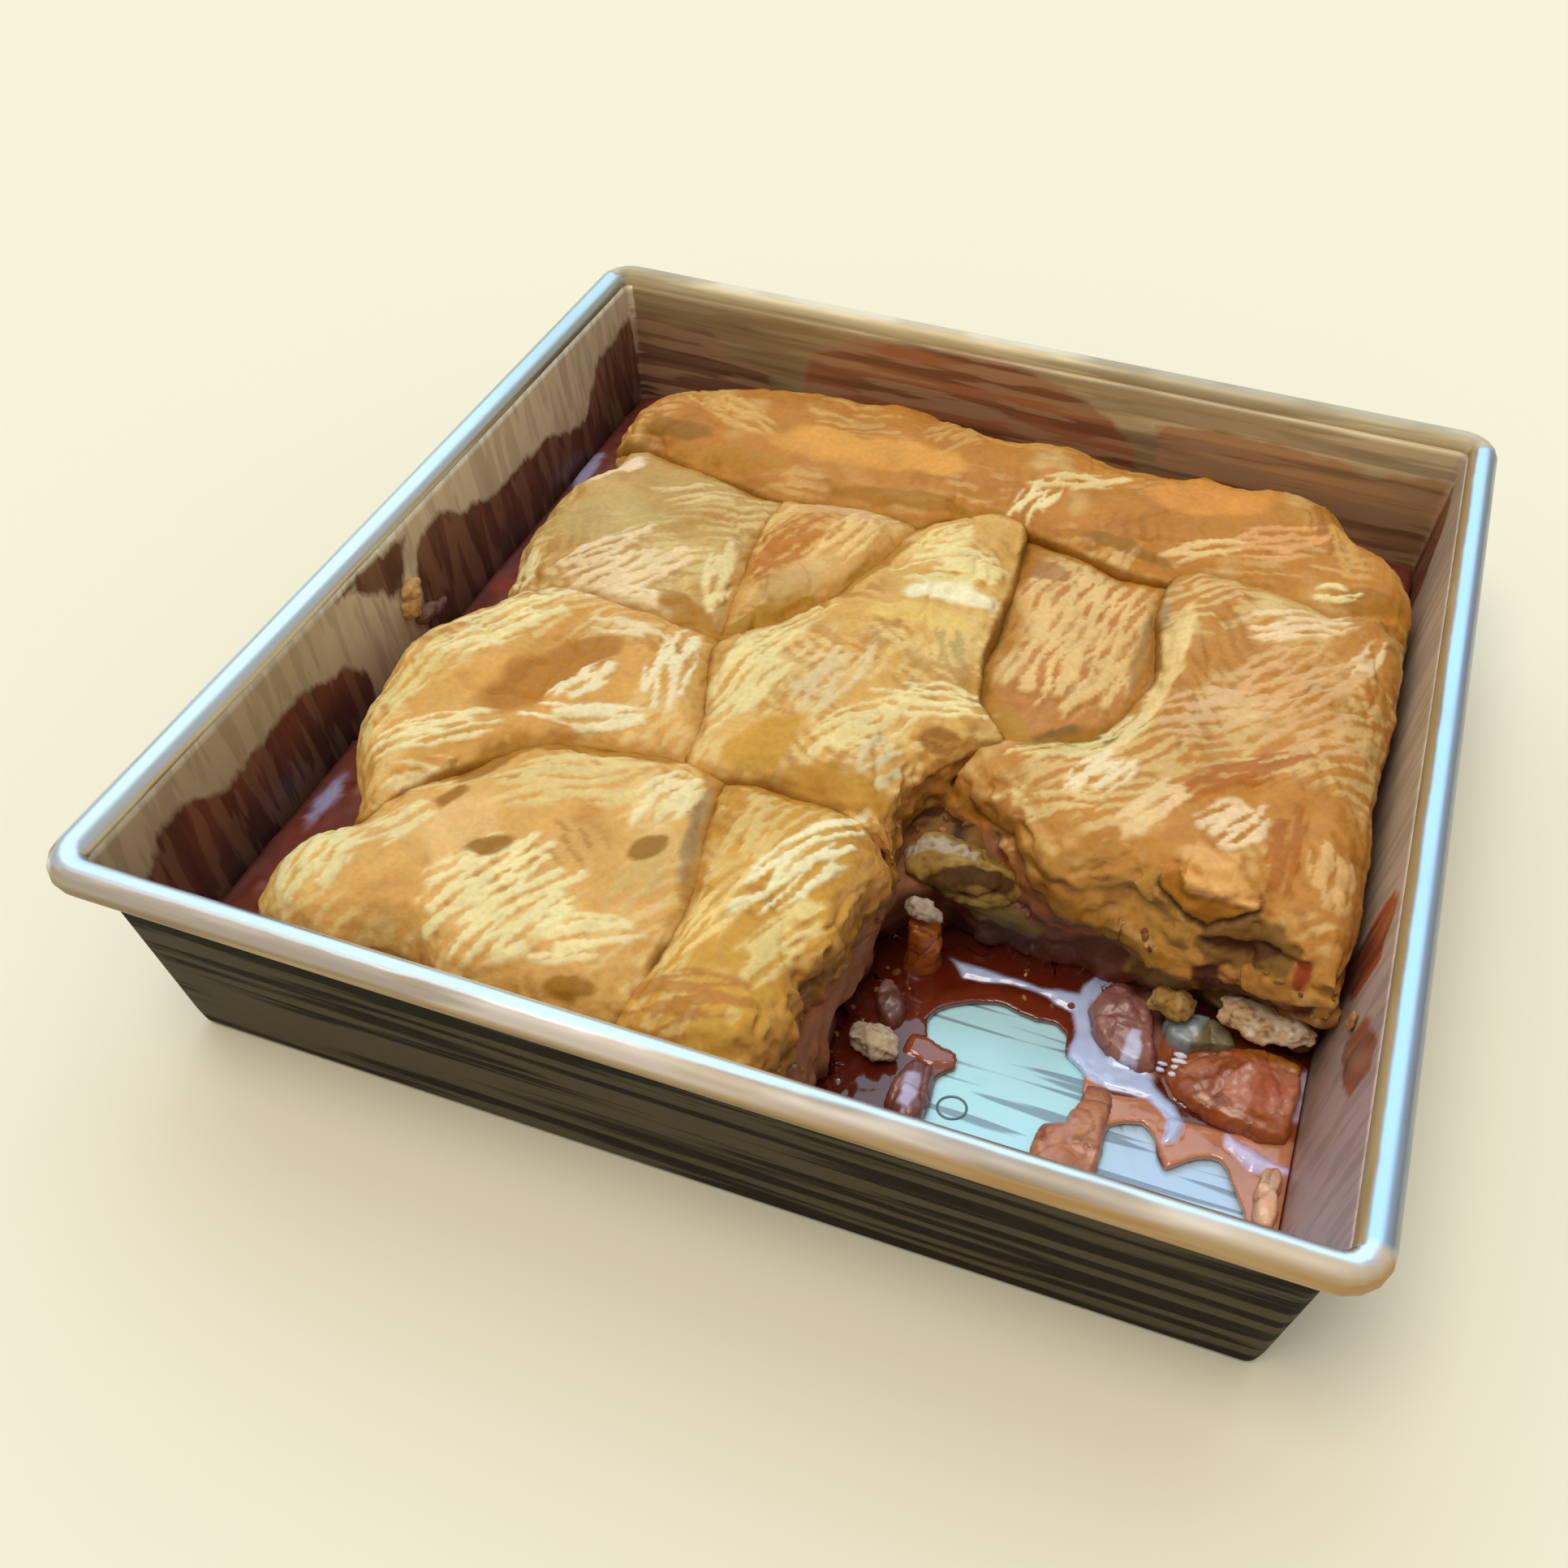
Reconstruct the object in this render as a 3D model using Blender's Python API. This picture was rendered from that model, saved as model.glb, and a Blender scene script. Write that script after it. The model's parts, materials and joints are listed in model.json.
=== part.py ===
"""A peach cobbler in its square baking tin, with one serving scooped out of a corner.

Run it with: blender --background --python part.py

Lengths are in metres and +Z is up. The origin is on the table, under the middle of the tin. The open
corner of the cobbler is at +X and -Y. From the bottom up there are the tin, the baked peach filling, and
nine pieces of dough that were laid on it side by side and rose against each other. In the hollow lie the
thin pool of syrup, the peach slices and the bits of crust that the spoon left behind.
"""

import math
from dataclasses import dataclass

import bmesh
import bpy
import numpy as np
from mathutils import Euler, Vector, noise

MM = 0.001

# The tin: a nine-inch square, pressed from thin sheet and rolled over a wire at the rim
TIN_INSIDE = 230 * MM
TIN_TAPER = 5.5 * MM
SHEET = 0.9 * MM
BEAD_RADIUS = 3.5 * MM
BEAD_HEIGHT = 53 * MM
TIN_CORNER = 2 * MM
FLOOR_BEND = 2.2 * MM
CORNER_STEPS = 5
BEAD_STEPS = 12

# What touches keeps this gap, so that no two solids overlap
GAP = 0.35 * MM

# The filling and what lies on it
FILLING_TOP = 21 * MM
CRUST_FOOT = FILLING_TOP + 2 * GAP
SEAM = 0.7 * MM
OUTLINE_STEP = 5.5 * MM
POOL_TOP = SHEET + GAP + 1.3 * MM
SLICE_STEP = 2.2 * MM
SLICE_LUMP = 0.8 * MM

# The scooped hollow in the filling: how far its two faces stand from the tin's middle
FILLING_LEFT = 17.5 * MM
FILLING_BACK = -38 * MM
HOLLOW_CORNER = 9 * MM
FACE_JAG = 1.5 * MM

# How far from a line the crust has risen to its full height, and the share of it that stands at the line
FREE_REACH = 9 * MM
FREE_SHARE = 0.5
TEAR_REACH = 11 * MM
TEAR_SHARE = 0.52
SEAM_REACH = 8 * MM
DOME_REACH = 26 * MM
LUMP_SIZE = 2.2 * MM
CRAG_SIZE = 3.0 * MM
CRAG_REACH = 8 * MM

# From this height up, the scooped face leans out to the torn edge of the crust
LEAN_START = 9 * MM

# A ledge of filling that slid out at the foot of the back face, under the broken crust
LEDGE_START = 92 * MM
LEDGE_TOP = 9.5 * MM
LEDGE_REACH = 5 * MM


def mm(*lengths):
    """Lengths given in millimetres, as a tuple in metres."""
    return tuple(length * MM for length in lengths)


@dataclass(frozen=True)
class Line:
    """A line on the crust in plan, through points in millimetres.

    Its kind is free, seam or tear, and drop is the share of the crust's height that is lost at a seam.
    """

    kind: str
    points: tuple
    drop: float = 0.13


# Free edges beside the tin's walls, seams between two pieces of dough, and the torn edge of the hollow
LINES = {
    "back_edge": Line("free", (
        (110, 58), (110, 74), (105, 85), (94, 92), (88, 103), (74, 109), (66, 105), (53, 107), (43, 101),
        (23, 105), (-7, 104), (-22, 108.5), (-40, 107.5), (-58, 107), (-77, 101), (-86, 95), (-96, 88),
        (-98, 77), (-96, 66),
    )),
    "left_back_edge": Line("free", ((-96, 66), (-93, 57), (-98, 45), (-100, 25), (-97, 10), (-93, -3))),
    "left_edge": Line("free", (
        (-93, -3), (-99, -13), (-104, -27), (-103, -42), (-98, -58), (-91, -68), (-86, -77),
    )),
    "front_left_edge": Line("free", (
        (-86, -77), (-93, -84), (-95, -96), (-89, -105), (-74, -106.5), (-67, -102), (-58, -102),
        (-50, -106.5), (-33, -107), (-15, -106),
    )),
    "front_middle_edge": Line("free", ((-15, -106), (0, -107.5), (14, -106))),
    "right_edge": Line("free", ((110, -50), (110.6, -20), (109.5, 10), (110.6, 35), (110, 58))),
    "tear_front": Line("tear", (
        (14, -106), (15.5, -92), (13, -83), (18, -72), (17, -63), (20, -56), (20, -47),
    )),
    "tear_notch": Line("tear", ((20, -47), (17.5, -40), (17, -30), (19, -23), (23, -20))),
    "tear_right": Line("tear", (
        (23, -20), (28, -23.5), (34, -26.5), (40, -31), (45.5, -37.5), (54, -41.5), (66, -38), (78, -44),
        (91, -41), (101, -46), (110, -50),
    )),
    "seam_back_left": Line("seam", ((-96, 66), (-82, 64), (-70, 60), (-57, 57), (-44, 55)), 0.17),
    "seam_back_middle_left": Line("seam", ((-44, 55), (-30, 57), (-18, 57), (-9, 55)), 0.2),
    "seam_back_middle": Line("seam", ((-9, 55), (0, 62), (8, 66), (15, 65)), 0.2),
    "seam_back_middle_right": Line("seam", ((15, 65), (28, 62), (42, 57), (55, 58))),
    "seam_back_right": Line("seam", ((55, 58), (68, 61), (82, 59), (92, 55), (102, 59), (110, 58))),
    "seam_upper_left": Line("seam", ((-44, 55), (-43, 35), (-41, 15), (-37, -3)), 0.08),
    "seam_upper_middle": Line("seam", ((-9, 55), (-12, 40), (-17, 25), (-25, 12), (-37, -3)), 0.19),
    "seam_upper_right": Line("seam", ((15, 65), (18, 50), (19, 30), (20, 12), (24, -3), (31, -11)), 0.09),
    "seam_right": Line("seam", ((55, 58), (54, 45), (57, 30), (58, 18), (53, 2), (44, -9), (31, -11))),
    "seam_notch": Line("seam", ((31, -11), (26, -15), (23, -20))),
    "seam_left": Line("seam", ((-93, -3), (-75, 2), (-58, 0), (-47, -1), (-37, -3)), 0.1),
    "seam_middle_left": Line("seam", ((-37, -3), (-33, -20), (-30, -32), (-28, -41)), 0.07),
    "seam_front_left": Line("seam", (
        (-86, -77), (-75, -63), (-66, -53), (-58, -45), (-45, -42), (-28, -41),
    ), 0.17),
    "seam_front_short": Line("seam", ((-28, -41), (-20, -42)), 0.17),
    "seam_front_right": Line("seam", ((-20, -42), (-10, -40), (5, -42), (20, -47)), 0.19),
    "seam_front": Line("seam", ((-20, -42), (-16, -60), (-13, -75), (-13, -90), (-15, -106)), 0.19),
}


# The top edge of the scooped face, under the torn edge of the crust: from the front wall to the right one
FACE_RIM = (
    (14, -120), (14.5, -92), (14, -83), (17, -72), (17, -63), (19.5, -55), (20.5, -44), (26, -40.5),
    (36, -42), (45, -42.5), (54, -43), (66, -40), (78, -45), (91, -42.5), (101, -47), (120, -50), (120, -120),
)


@dataclass(frozen=True)
class Dough:
    """One piece of dough: the lines round it in turn ("-" marks one walked backwards), and how high it rose.

    Its mesh closes in on a hub, or on a spine along X that reaches to each side of the hub.
    """

    name: str
    lines: tuple
    hub: tuple
    height: float
    spine: float = 0.0
    dome: float = 3.5 * MM


DOUGH = (
    Dough(
        "crust_back",
        ("back_edge", "seam_back_left", "seam_back_middle_left", "seam_back_middle", "seam_back_middle_right",
         "seam_back_right"),
        mm(5, 84), 17.0 * MM, 82 * MM, 3 * MM,
    ),
    Dough(
        "crust_left_back", ("left_back_edge", "seam_left", "-seam_upper_left", "-seam_back_left"),
        mm(-68, 28), 15.5 * MM,
    ),
    Dough(
        "crust_middle_back", ("seam_upper_left", "-seam_upper_middle", "-seam_back_middle_left"),
        mm(-28, 33), 17.5 * MM,
    ),
    Dough(
        "crust_middle",
        ("seam_upper_middle", "seam_middle_left", "seam_front_short", "seam_front_right", "tear_notch",
         "-seam_notch", "-seam_upper_right", "-seam_back_middle"),
        mm(-4, -5), 19 * MM,
    ),
    Dough(
        "crust_right_back", ("seam_upper_right", "-seam_right", "-seam_back_middle_right"),
        mm(38, 26), 15 * MM, 0.0, 2 * MM,
    ),
    Dough(
        "crust_right", ("seam_right", "seam_notch", "tear_right", "right_edge", "-seam_back_right"),
        mm(76, -20), 18.5 * MM,
    ),
    Dough(
        "crust_left", ("left_edge", "seam_front_left", "-seam_middle_left", "-seam_left"),
        mm(-71, -33), 18 * MM,
    ),
    Dough(
        "crust_front_left", ("front_left_edge", "-seam_front", "-seam_front_short", "-seam_front_left"),
        mm(-52, -78), 18 * MM, 12 * MM,
    ),
    Dough(
        "crust_front_middle", ("seam_front", "front_middle_edge", "tear_front", "-seam_front_right"),
        mm(0, -75), 18.5 * MM, 0.0, 2.5 * MM,
    ),
)


@dataclass(frozen=True)
class Dent:
    """A hollow or a swelling in the crust's top."""

    middle: tuple
    half: tuple
    depth: float


DENTS = (
    Dent(mm(-68, -22), mm(7, 15), 3.0 * MM),
    Dent(mm(8, -12), mm(9, 12), 1.6 * MM),
    Dent(mm(88, -14), mm(16, 5), 1.8 * MM),
    Dent(mm(64, 24), mm(5, 34), -2.2 * MM),
    Dent(mm(-54, -60), mm(20, 9), -1.6 * MM),
    Dent(mm(30, 88), mm(14, 12), 1.8 * MM),
    Dent(mm(81, -39), mm(8, 5), -4.0 * MM),
)


@dataclass(frozen=True)
class Slice:
    """A slice of peach, slack from baking, that lies on the syrup.

    It has an outline in plan through points in millimetres, a crest in millimetres, and a fall, which is how
    steeply its top drops away from the crest.
    """

    name: str
    outline: tuple
    crest: tuple
    fall: float


SLICES = (
    Slice("peach_slice_right", (
        (81.4, -54.6), (83.2, -59.6), (87.4, -62.8), (93, -64.8), (100, -65.4), (107.2, -64.6), (107.8, -57),
        (107.6, -49), (103, -47), (96.5, -47.8), (90, -49.8), (84.8, -51.6),
    ), (98, -51.5, 10.2), 0.3),
    Slice("peach_slice_back", (
        (63.5, -46), (65.5, -51.5), (69.5, -55.5), (74.5, -57.2), (78.6, -57), (79.2, -53), (77.2, -48.4),
        (76.2, -44.6), (72, -41.2), (66.5, -40.8),
    ), (71, -45.5, 9), 0.3),
    Slice("peach_slice_small", (
        (78.8, -45.4), (80.6, -48.4), (84.6, -49.6), (90, -48), (94.6, -46), (92.6, -43.6), (87, -41.6),
        (81, -42.2),
    ), (85.5, -45, 7.4), 0.25),
    Slice("peach_slice_front", (
        (60.8, -79.5), (61.6, -76.6), (65.8, -75.6), (66.6, -69), (68, -64.6), (71, -64.2), (73.2, -67.6),
        (72.4, -72), (73.2, -79), (72.8, -85.5), (67, -87.5), (61.8, -84.8),
    ), (69, -76.5, 5.4), 0.1),
    Slice("peach_slice_corner", (
        (103.4, -77), (104.6, -72.6), (106.8, -71.6), (107.8, -75), (107.8, -82), (106.6, -85.6),
        (104.6, -83.4),
    ), (106, -77, 7), 0.25),
    Slice("peach_slice_upright", (
        (22.4, -46.5), (23.6, -43.4), (27, -42), (29.4, -43.4), (29.6, -47), (26.6, -49.6), (23.8, -49),
    ), (24.8, -44.6, 17.4), 0.5),
    Slice("peach_slice_left", (
        (31.6, -76), (33.4, -72), (36.4, -72), (38, -77), (38, -83), (35.6, -86.4), (31.8, -84.6),
        (30.8, -80),
    ), (34.8, -78, 7), 0.25),
    Slice("peach_slice_left_back", (
        (20.6, -54.4), (22.6, -53.6), (25.6, -57), (26.8, -62), (25.6, -65), (22.8, -62.6), (20.4, -58.6),
    ), (23.4, -58.6, 6.6), 0.3),
)


@dataclass(frozen=True)
class Fragment:
    """A bit of crust that broke off."""

    name: str
    place: tuple
    half: tuple
    turn: float
    seed: float


FRAGMENTS = (
    Fragment("crust_fragment_right", mm(98.3, -44.2, 12.9), mm(11.2, 3.6, 3.4), -3, 3.1),
    Fragment("crust_fragment_back", mm(79.5, -44.4, 11.3), mm(4.8, 3.0, 3.8), 12, 5.4),
    Fragment("crust_fragment_left", mm(24, -70.6, 5.6), mm(5.6, 3.8, 3.4), -12, 7.7),
    Fragment("crust_fragment_notch", mm(25.6, -46.2, 20.4), mm(4.8, 2.4, 1.9), -8, 1.3),
    Fragment("crust_fragment_mound", mm(31.0, -36.4, 25.0), mm(11.2, 5.6, 5.0), -14, 9.2),
)


@dataclass(frozen=True)
class Finish:
    """A plain finish: base colour, roughness and metallic value."""

    colour: tuple
    roughness: float
    metallic: float = 0.0


FINISHES = {
    "tin": Finish((0.33, 0.25, 0.15), 0.32, 0.9),
    "crust": Finish((0.68, 0.42, 0.17), 0.7),
    "filling": Finish((0.16, 0.03, 0.012), 0.25),
    "peach": Finish((0.48, 0.14, 0.03), 0.3),
    "syrup": Finish((0.14, 0.02, 0.01), 0.1),
}


def clear_scene():
    """Removes what the scene starts with."""
    for item in list(bpy.data.objects):
        bpy.data.objects.remove(item, do_unlink=True)


def material(name):
    """The named finish as a Blender material."""
    made = bpy.data.materials.get(name)
    if made is None:
        finish = FINISHES[name]
        made = bpy.data.materials.new(name)
        made.use_nodes = True
        shader = made.node_tree.nodes["Principled BSDF"]
        shader.inputs["Base Color"].default_value = (*finish.colour, 1)
        shader.inputs["Roughness"].default_value = finish.roughness
        shader.inputs["Metallic"].default_value = finish.metallic
    return made


def add_object(name, body, finish):
    """An object made from a bmesh, with its finish."""
    bmesh.ops.recalc_face_normals(body, faces=body.faces)
    mesh = bpy.data.meshes.new(name)
    body.to_mesh(mesh)
    body.free()
    mesh.materials.append(material(finish))
    mesh.shade_smooth()
    mesh.set_sharp_from_angle(angle=math.radians(40))
    made = bpy.data.objects.new(name, mesh)
    bpy.context.scene.collection.objects.link(made)
    return made


def skin(body, rings, first=None, last=None):
    """Joins rings of equal count with faces, and closes each end on a point, or with one face."""
    loops = [[body.verts.new(point) for point in ring] for ring in rings]
    for low, high in zip(loops, loops[1:]):
        for i in range(len(low)):
            j = (i + 1) % len(low)
            body.faces.new((low[i], low[j], high[j], high[i]))
    for loop, tip in ((loops[0], first), (loops[-1], last)):
        if tip is None:
            body.faces.new(loop)
            continue
        point = body.verts.new(tip)
        for i in range(len(loop)):
            body.faces.new((loop[i], loop[(i + 1) % len(loop)], point))


def inside_half(z):
    """Half the width between the tin's sloping walls at a height."""
    share = (z - SHEET) / (BEAD_HEIGHT - SHEET)
    return TIN_INSIDE / 2 - TIN_TAPER * (1 - share)


def square_ring(half, corner, z):
    """Points round a square with rounded corners."""
    points = []
    for quarter in range(4):
        for step in range(CORNER_STEPS + 1):
            angle = math.pi / 2 * (quarter + step / CORNER_STEPS)
            middle = math.pi / 2 * quarter + math.pi / 4
            reach = (half - corner) * math.sqrt(2)
            points.append(
                (
                    reach * math.cos(middle) + corner * math.cos(angle),
                    reach * math.sin(middle) + corner * math.sin(angle),
                    z,
                )
            )
    return points


def tin_section():
    """(half width, height) from the tin's underside, up its outer face, round the bead and down inside."""
    foot = inside_half(SHEET) + SHEET
    section = []
    for step in range(4):
        angle = math.pi / 2 * step / 3
        section.append((foot - FLOOR_BEND * (1 - math.sin(angle)), FLOOR_BEND * (1 - math.cos(angle))))
    middle = TIN_INSIDE / 2 + BEAD_RADIUS
    start = math.pi + math.acos((BEAD_RADIUS - SHEET) / BEAD_RADIUS)
    sweep = 3 * math.pi - start
    for step in range(BEAD_STEPS + 1):
        angle = start + sweep * step / BEAD_STEPS
        section.append((middle + BEAD_RADIUS * math.cos(angle), BEAD_HEIGHT + BEAD_RADIUS * math.sin(angle)))
    bend = FLOOR_BEND - SHEET / 2
    for step in range(4):
        angle = math.pi / 2 * step / 3
        half = inside_half(SHEET) - bend * (1 - math.cos(angle))
        section.append((half, SHEET + bend * (1 - math.sin(angle))))
    return section


def build_tin():
    """The square tin with its rolled rim."""
    rings = []
    for half, z in tin_section():
        corner = max(TIN_CORNER + half - inside_half(z), SHEET)
        rings.append(square_ring(half, corner, z))
    body = bmesh.new()
    skin(body, rings)
    add_object("baking_tin", body, "tin")


def box_distance(points, middle, half, corner):
    """Distance of plan points from a rounded rectangle: negative inside it."""
    beyond = np.abs(points - middle) - (np.array(half) - corner)
    outside = np.linalg.norm(np.maximum(beyond, 0), axis=-1)
    return outside + np.minimum(beyond.max(axis=-1), 0) - corner


def rippled(points, size, length=13 * MM):
    """Plan points moved a little, so that an edge wanders."""
    turns = points * (2 * math.pi / length)
    x, y = turns[..., 0], turns[..., 1]
    move_x = np.sin(y + 1.3 * np.sin(0.6 * x)) + 0.5 * np.sin(2.3 * y + 0.7 * x + 1)
    move_y = np.sin(x + 1.1 * np.sin(0.7 * y) + 2) + 0.5 * np.sin(2.1 * x - 0.8 * y)
    return points + size * np.stack([move_x, move_y], axis=-1)


def hollow_distance(points):
    """Distance of plan points from the scooped corner: positive outside it. Its two faces are ragged."""
    half = np.array([(TIN_INSIDE - FILLING_LEFT) / 2, (TIN_INSIDE + FILLING_BACK) / 2])
    middle = np.array([FILLING_LEFT + half[0], FILLING_BACK - half[1]])
    return box_distance(rippled(points, FACE_JAG), middle, half, HOLLOW_CORNER)


def rim_distance(points):
    """Distance of plan points from the hollow inside the face's rim: positive outside it."""
    rim = np.array(FACE_RIM) * MM
    nearest = np.full(points.shape[:-1], TIN_INSIDE)
    inside = np.zeros(points.shape[:-1], bool)
    for a, b in zip(rim, np.roll(rim, -1, axis=0)):
        edge = b - a
        share = np.clip((points - a) @ edge / (edge @ edge), 0, 1)
        nearest = np.minimum(nearest, np.linalg.norm(points - a - share[..., None] * edge, axis=-1))
        if a[1] != b[1]:
            crosses = (a[1] > points[..., 1]) != (b[1] > points[..., 1])
            inside ^= crosses & (points[..., 0] < a[0] + (points[..., 1] - a[1]) / edge[1] * edge[0])
    return np.where(inside, -nearest, nearest)


def curve_through(points, spacing):
    """Points about this far apart along a smooth curve through the given ones."""
    given = np.array(points) * MM
    padded = np.vstack([2 * given[0] - given[1], given, 2 * given[-1] - given[-2]])
    walked = []
    for a, b, c, d in zip(padded, padded[1:], padded[2:], padded[3:]):
        count = max(1, round(float(np.linalg.norm(c - b)) / spacing))
        for t in np.arange(count) / count:
            curved = (2 * a - 5 * b + 4 * c - d) * t**2 + (3 * b - a - 3 * c + d) * t**3
            walked.append(b + 0.5 * ((c - a) * t + curved))
    walked.append(given[-1])
    return np.array(walked)


def away_from(points, kind, lines):
    """Distance of plan points from those of a piece's lines that are of one kind."""
    names = [name.lstrip("-") for name in lines]
    near = [curve_through(LINES[name].points, 1.5 * MM) for name in names if LINES[name].kind == kind]
    if not near:
        return np.full(points.shape[:-1], TIN_INSIDE)
    marks = np.vstack(near)
    return np.linalg.norm(points[..., None, :] - marks, axis=-1).min(axis=-1)


def outline_of(dough):
    """Points round a piece of dough, drawn back from its lines by half the gap between neighbours."""
    loop = []
    for name in dough.lines:
        walked = curve_through(LINES[name.lstrip("-")].points, OUTLINE_STEP)
        if name.startswith("-"):
            walked = walked[::-1]
        loop.append(walked[:-1])
    loop = np.vstack(loop)
    before = loop - np.roll(loop, 1, axis=0)
    after = np.roll(loop, -1, axis=0) - loop
    before /= np.linalg.norm(before, axis=1, keepdims=True)
    after /= np.linalg.norm(after, axis=1, keepdims=True)
    inward = np.stack([-(before + after)[:, 1], (before + after)[:, 0]], axis=1)
    inward /= np.linalg.norm(inward, axis=1, keepdims=True)
    side = np.stack([-before[:, 1], before[:, 0]], axis=1)
    lean = np.maximum(np.sum(inward * side, axis=1, keepdims=True), 0.35)
    return loop + inward * (SEAM / 2) / lean


def fan(dough_hub, spine, angles, reach):
    """Plan points on rays from a spine along X: at no reach they lie on the spine."""
    x = dough_hub[0] + (spine + reach) * np.cos(angles)
    y = dough_hub[1] + reach * np.sin(angles)
    return np.stack([x, y], axis=-1)


def reach_of(inside, hub, spine, angles, farthest=200 * MM, step=0.8 * MM):
    """How far each ray runs before the function inside(points) turns negative."""
    steps = np.arange(step, farthest, step)
    depth = inside(fan(hub, spine, angles[:, None], steps[None, :]))
    crossing = np.maximum(np.argmax(depth < 0, axis=1), 1)
    rays = np.arange(len(angles))
    before = depth[rays, crossing - 1]
    after = depth[rays, crossing]
    return steps[crossing - 1] + step * before / (before - after)


def even_angles(inside, hub, spine, count, weigh=None):
    """Ray angles that meet the outline at even distances. weigh(points) above 1 packs them closer."""
    dense = np.linspace(0, 2 * math.pi, 361)
    ring = fan(hub, spine, dense, reach_of(inside, hub, spine, dense))
    lengths = np.linalg.norm(np.diff(ring, axis=0), axis=1)
    if weigh is not None:
        lengths = lengths * weigh((ring[1:] + ring[:-1]) / 2)
    along = np.concatenate([[0], np.cumsum(lengths)])
    return np.interp(np.linspace(0, along[-1], count, endpoint=False), along, dense)


def arch(share):
    """A quarter circle's rise, from 0 at an edge to 1 at share 1."""
    share = np.clip(share, 0, 1)
    return np.sqrt(1 - (1 - share) ** 2)


def lumps(points, size, length, seed):
    """Smooth noise over plan points, up to size high or low."""
    flat = points.reshape(-1, 2)
    values = [noise.noise(Vector((x / length, y / length, seed))) for x, y in flat]
    return size * np.array(values).reshape(points.shape[:-1])


def crust_height(points, dough):
    """Height of a dough piece's top: domed, low at seams, round at free edges and craggy at the tear."""
    free = away_from(points, "free", dough.lines)
    seam = away_from(points, "seam", dough.lines)
    tear = away_from(points, "tear", dough.lines)
    rise = dough.height + dough.dome * arch(np.minimum(free, seam) / DOME_REACH)
    rise = rise + lumps(points, LUMP_SIZE, 17 * MM, len(dough.name))
    for dent in DENTS:
        away = (points - np.array(dent.middle)) / np.array(dent.half)
        rise = rise - dent.depth * np.exp(-np.sum(away**2, axis=-1))
    rise = rise * (FREE_SHARE + (1 - FREE_SHARE) * arch(free / FREE_REACH))
    rise = rise * (TEAR_SHARE + (1 - TEAR_SHARE) * arch(tear / TEAR_REACH))
    at_seam = np.ones(points.shape[:-1])
    for name in dough.lines:
        line = LINES[name.lstrip("-")]
        if line.kind == "seam":
            away = away_from(points, "seam", (name,))
            at_seam = np.minimum(at_seam, 1 - line.drop * (1 - arch(away / SEAM_REACH)))
    crag = lumps(points, CRAG_SIZE, 6 * MM, 5.0) * np.clip(1 - tear / CRAG_REACH, 0, 1)
    return CRUST_FOOT + rise * at_seam + crag


def with_height(points, heights):
    """Plan points as points in space."""
    return [(x, y, z) for (x, y), z in zip(points, np.broadcast_to(heights, len(points)))]


def build_dough(dough):
    """One piece of the crust."""
    outline = outline_of(dough)
    hub = np.array(dough.hub)
    core = np.tile(hub, (len(outline), 1))
    core[:, 0] += np.clip(outline[:, 0] - hub[0], -dough.spine, dough.spine)
    spread = outline - core
    edge = crust_height(outline, dough)
    rings = [
        with_height(core + 0.975 * spread, CRUST_FOOT),
        with_height(outline, CRUST_FOOT + 0.35 * (edge - CRUST_FOOT)),
    ]
    for share in (1.0, 0.95, 0.87, 0.74, 0.52, 0.26):
        ring = core + share * spread
        rings.append(with_height(ring, crust_height(ring, dough)))
    first = (*dough.hub, CRUST_FOOT)
    last = (*dough.hub, float(crust_height(hub[None, :], dough)[0]))
    body = bmesh.new()
    if dough.spine:
        skin(body, rings)
        bmesh.ops.triangulate(body, faces=[face for face in body.faces if len(face.verts) > 4])
    else:
        skin(body, rings, first, last)
    add_object(dough.name, body, "crust")


def filling_inside(points, z):
    """How far inside the filling plan points lie at a height, from the tin's walls and the scooped face."""
    half = inside_half(z) - GAP
    wall = -box_distance(points, np.zeros(2), (half, half), TIN_CORNER)
    swell = lumps(points, 2.6 * MM, 11 * MM, z / (7 * MM))
    lean = np.clip((z - LEAN_START) / (FILLING_TOP - LEAN_START), 0, 1) ** 2
    face = (1 - lean) * (hollow_distance(points) + swell) + lean * (rim_distance(points) + 0.4 * swell)
    face = face - 2 * MM * (1 - z / FILLING_TOP)
    on_ledge = np.clip((points[..., 0] - LEDGE_START) / (3 * MM), 0, 1)
    if z > LEDGE_TOP:
        on_ledge = 0
    return np.minimum(wall, face + LEDGE_REACH * on_ledge)


def build_filling():
    """Baked peaches in syrup, under the crust and out to the tin's walls, with a lumpy scooped face."""
    hub = mm(-30, 30)

    def inside(points):
        return filling_inside(points, FILLING_TOP / 2)

    def weigh(points):
        return np.where(hollow_distance(points) < 6 * MM, 2.6, 1.0)

    angles = even_angles(inside, hub, 0.0, 92, weigh)
    rings = []
    foot = (SHEET + GAP) / MM
    for z, inset in ((foot, 2.2), (4, 0), (9, 0), (13, 0), (16, 0), (18.5, 0), (20.4, 0.3)):
        height = z * MM
        reach = reach_of(lambda points: filling_inside(points, height), hub, 0.0, angles)
        rings.append(with_height(fan(hub, 0.0, angles, reach - inset * MM), height))
    top = reach_of(lambda points: filling_inside(points, FILLING_TOP), hub, 0.0, angles)
    for share in (0.975, 0.55):
        rings.append(with_height(fan(hub, 0.0, angles, top * share), FILLING_TOP))
    body = bmesh.new()
    skin(body, rings, (*hub, SHEET + GAP), (*hub, FILLING_TOP))
    add_object("peach_filling", body, "filling")


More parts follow.
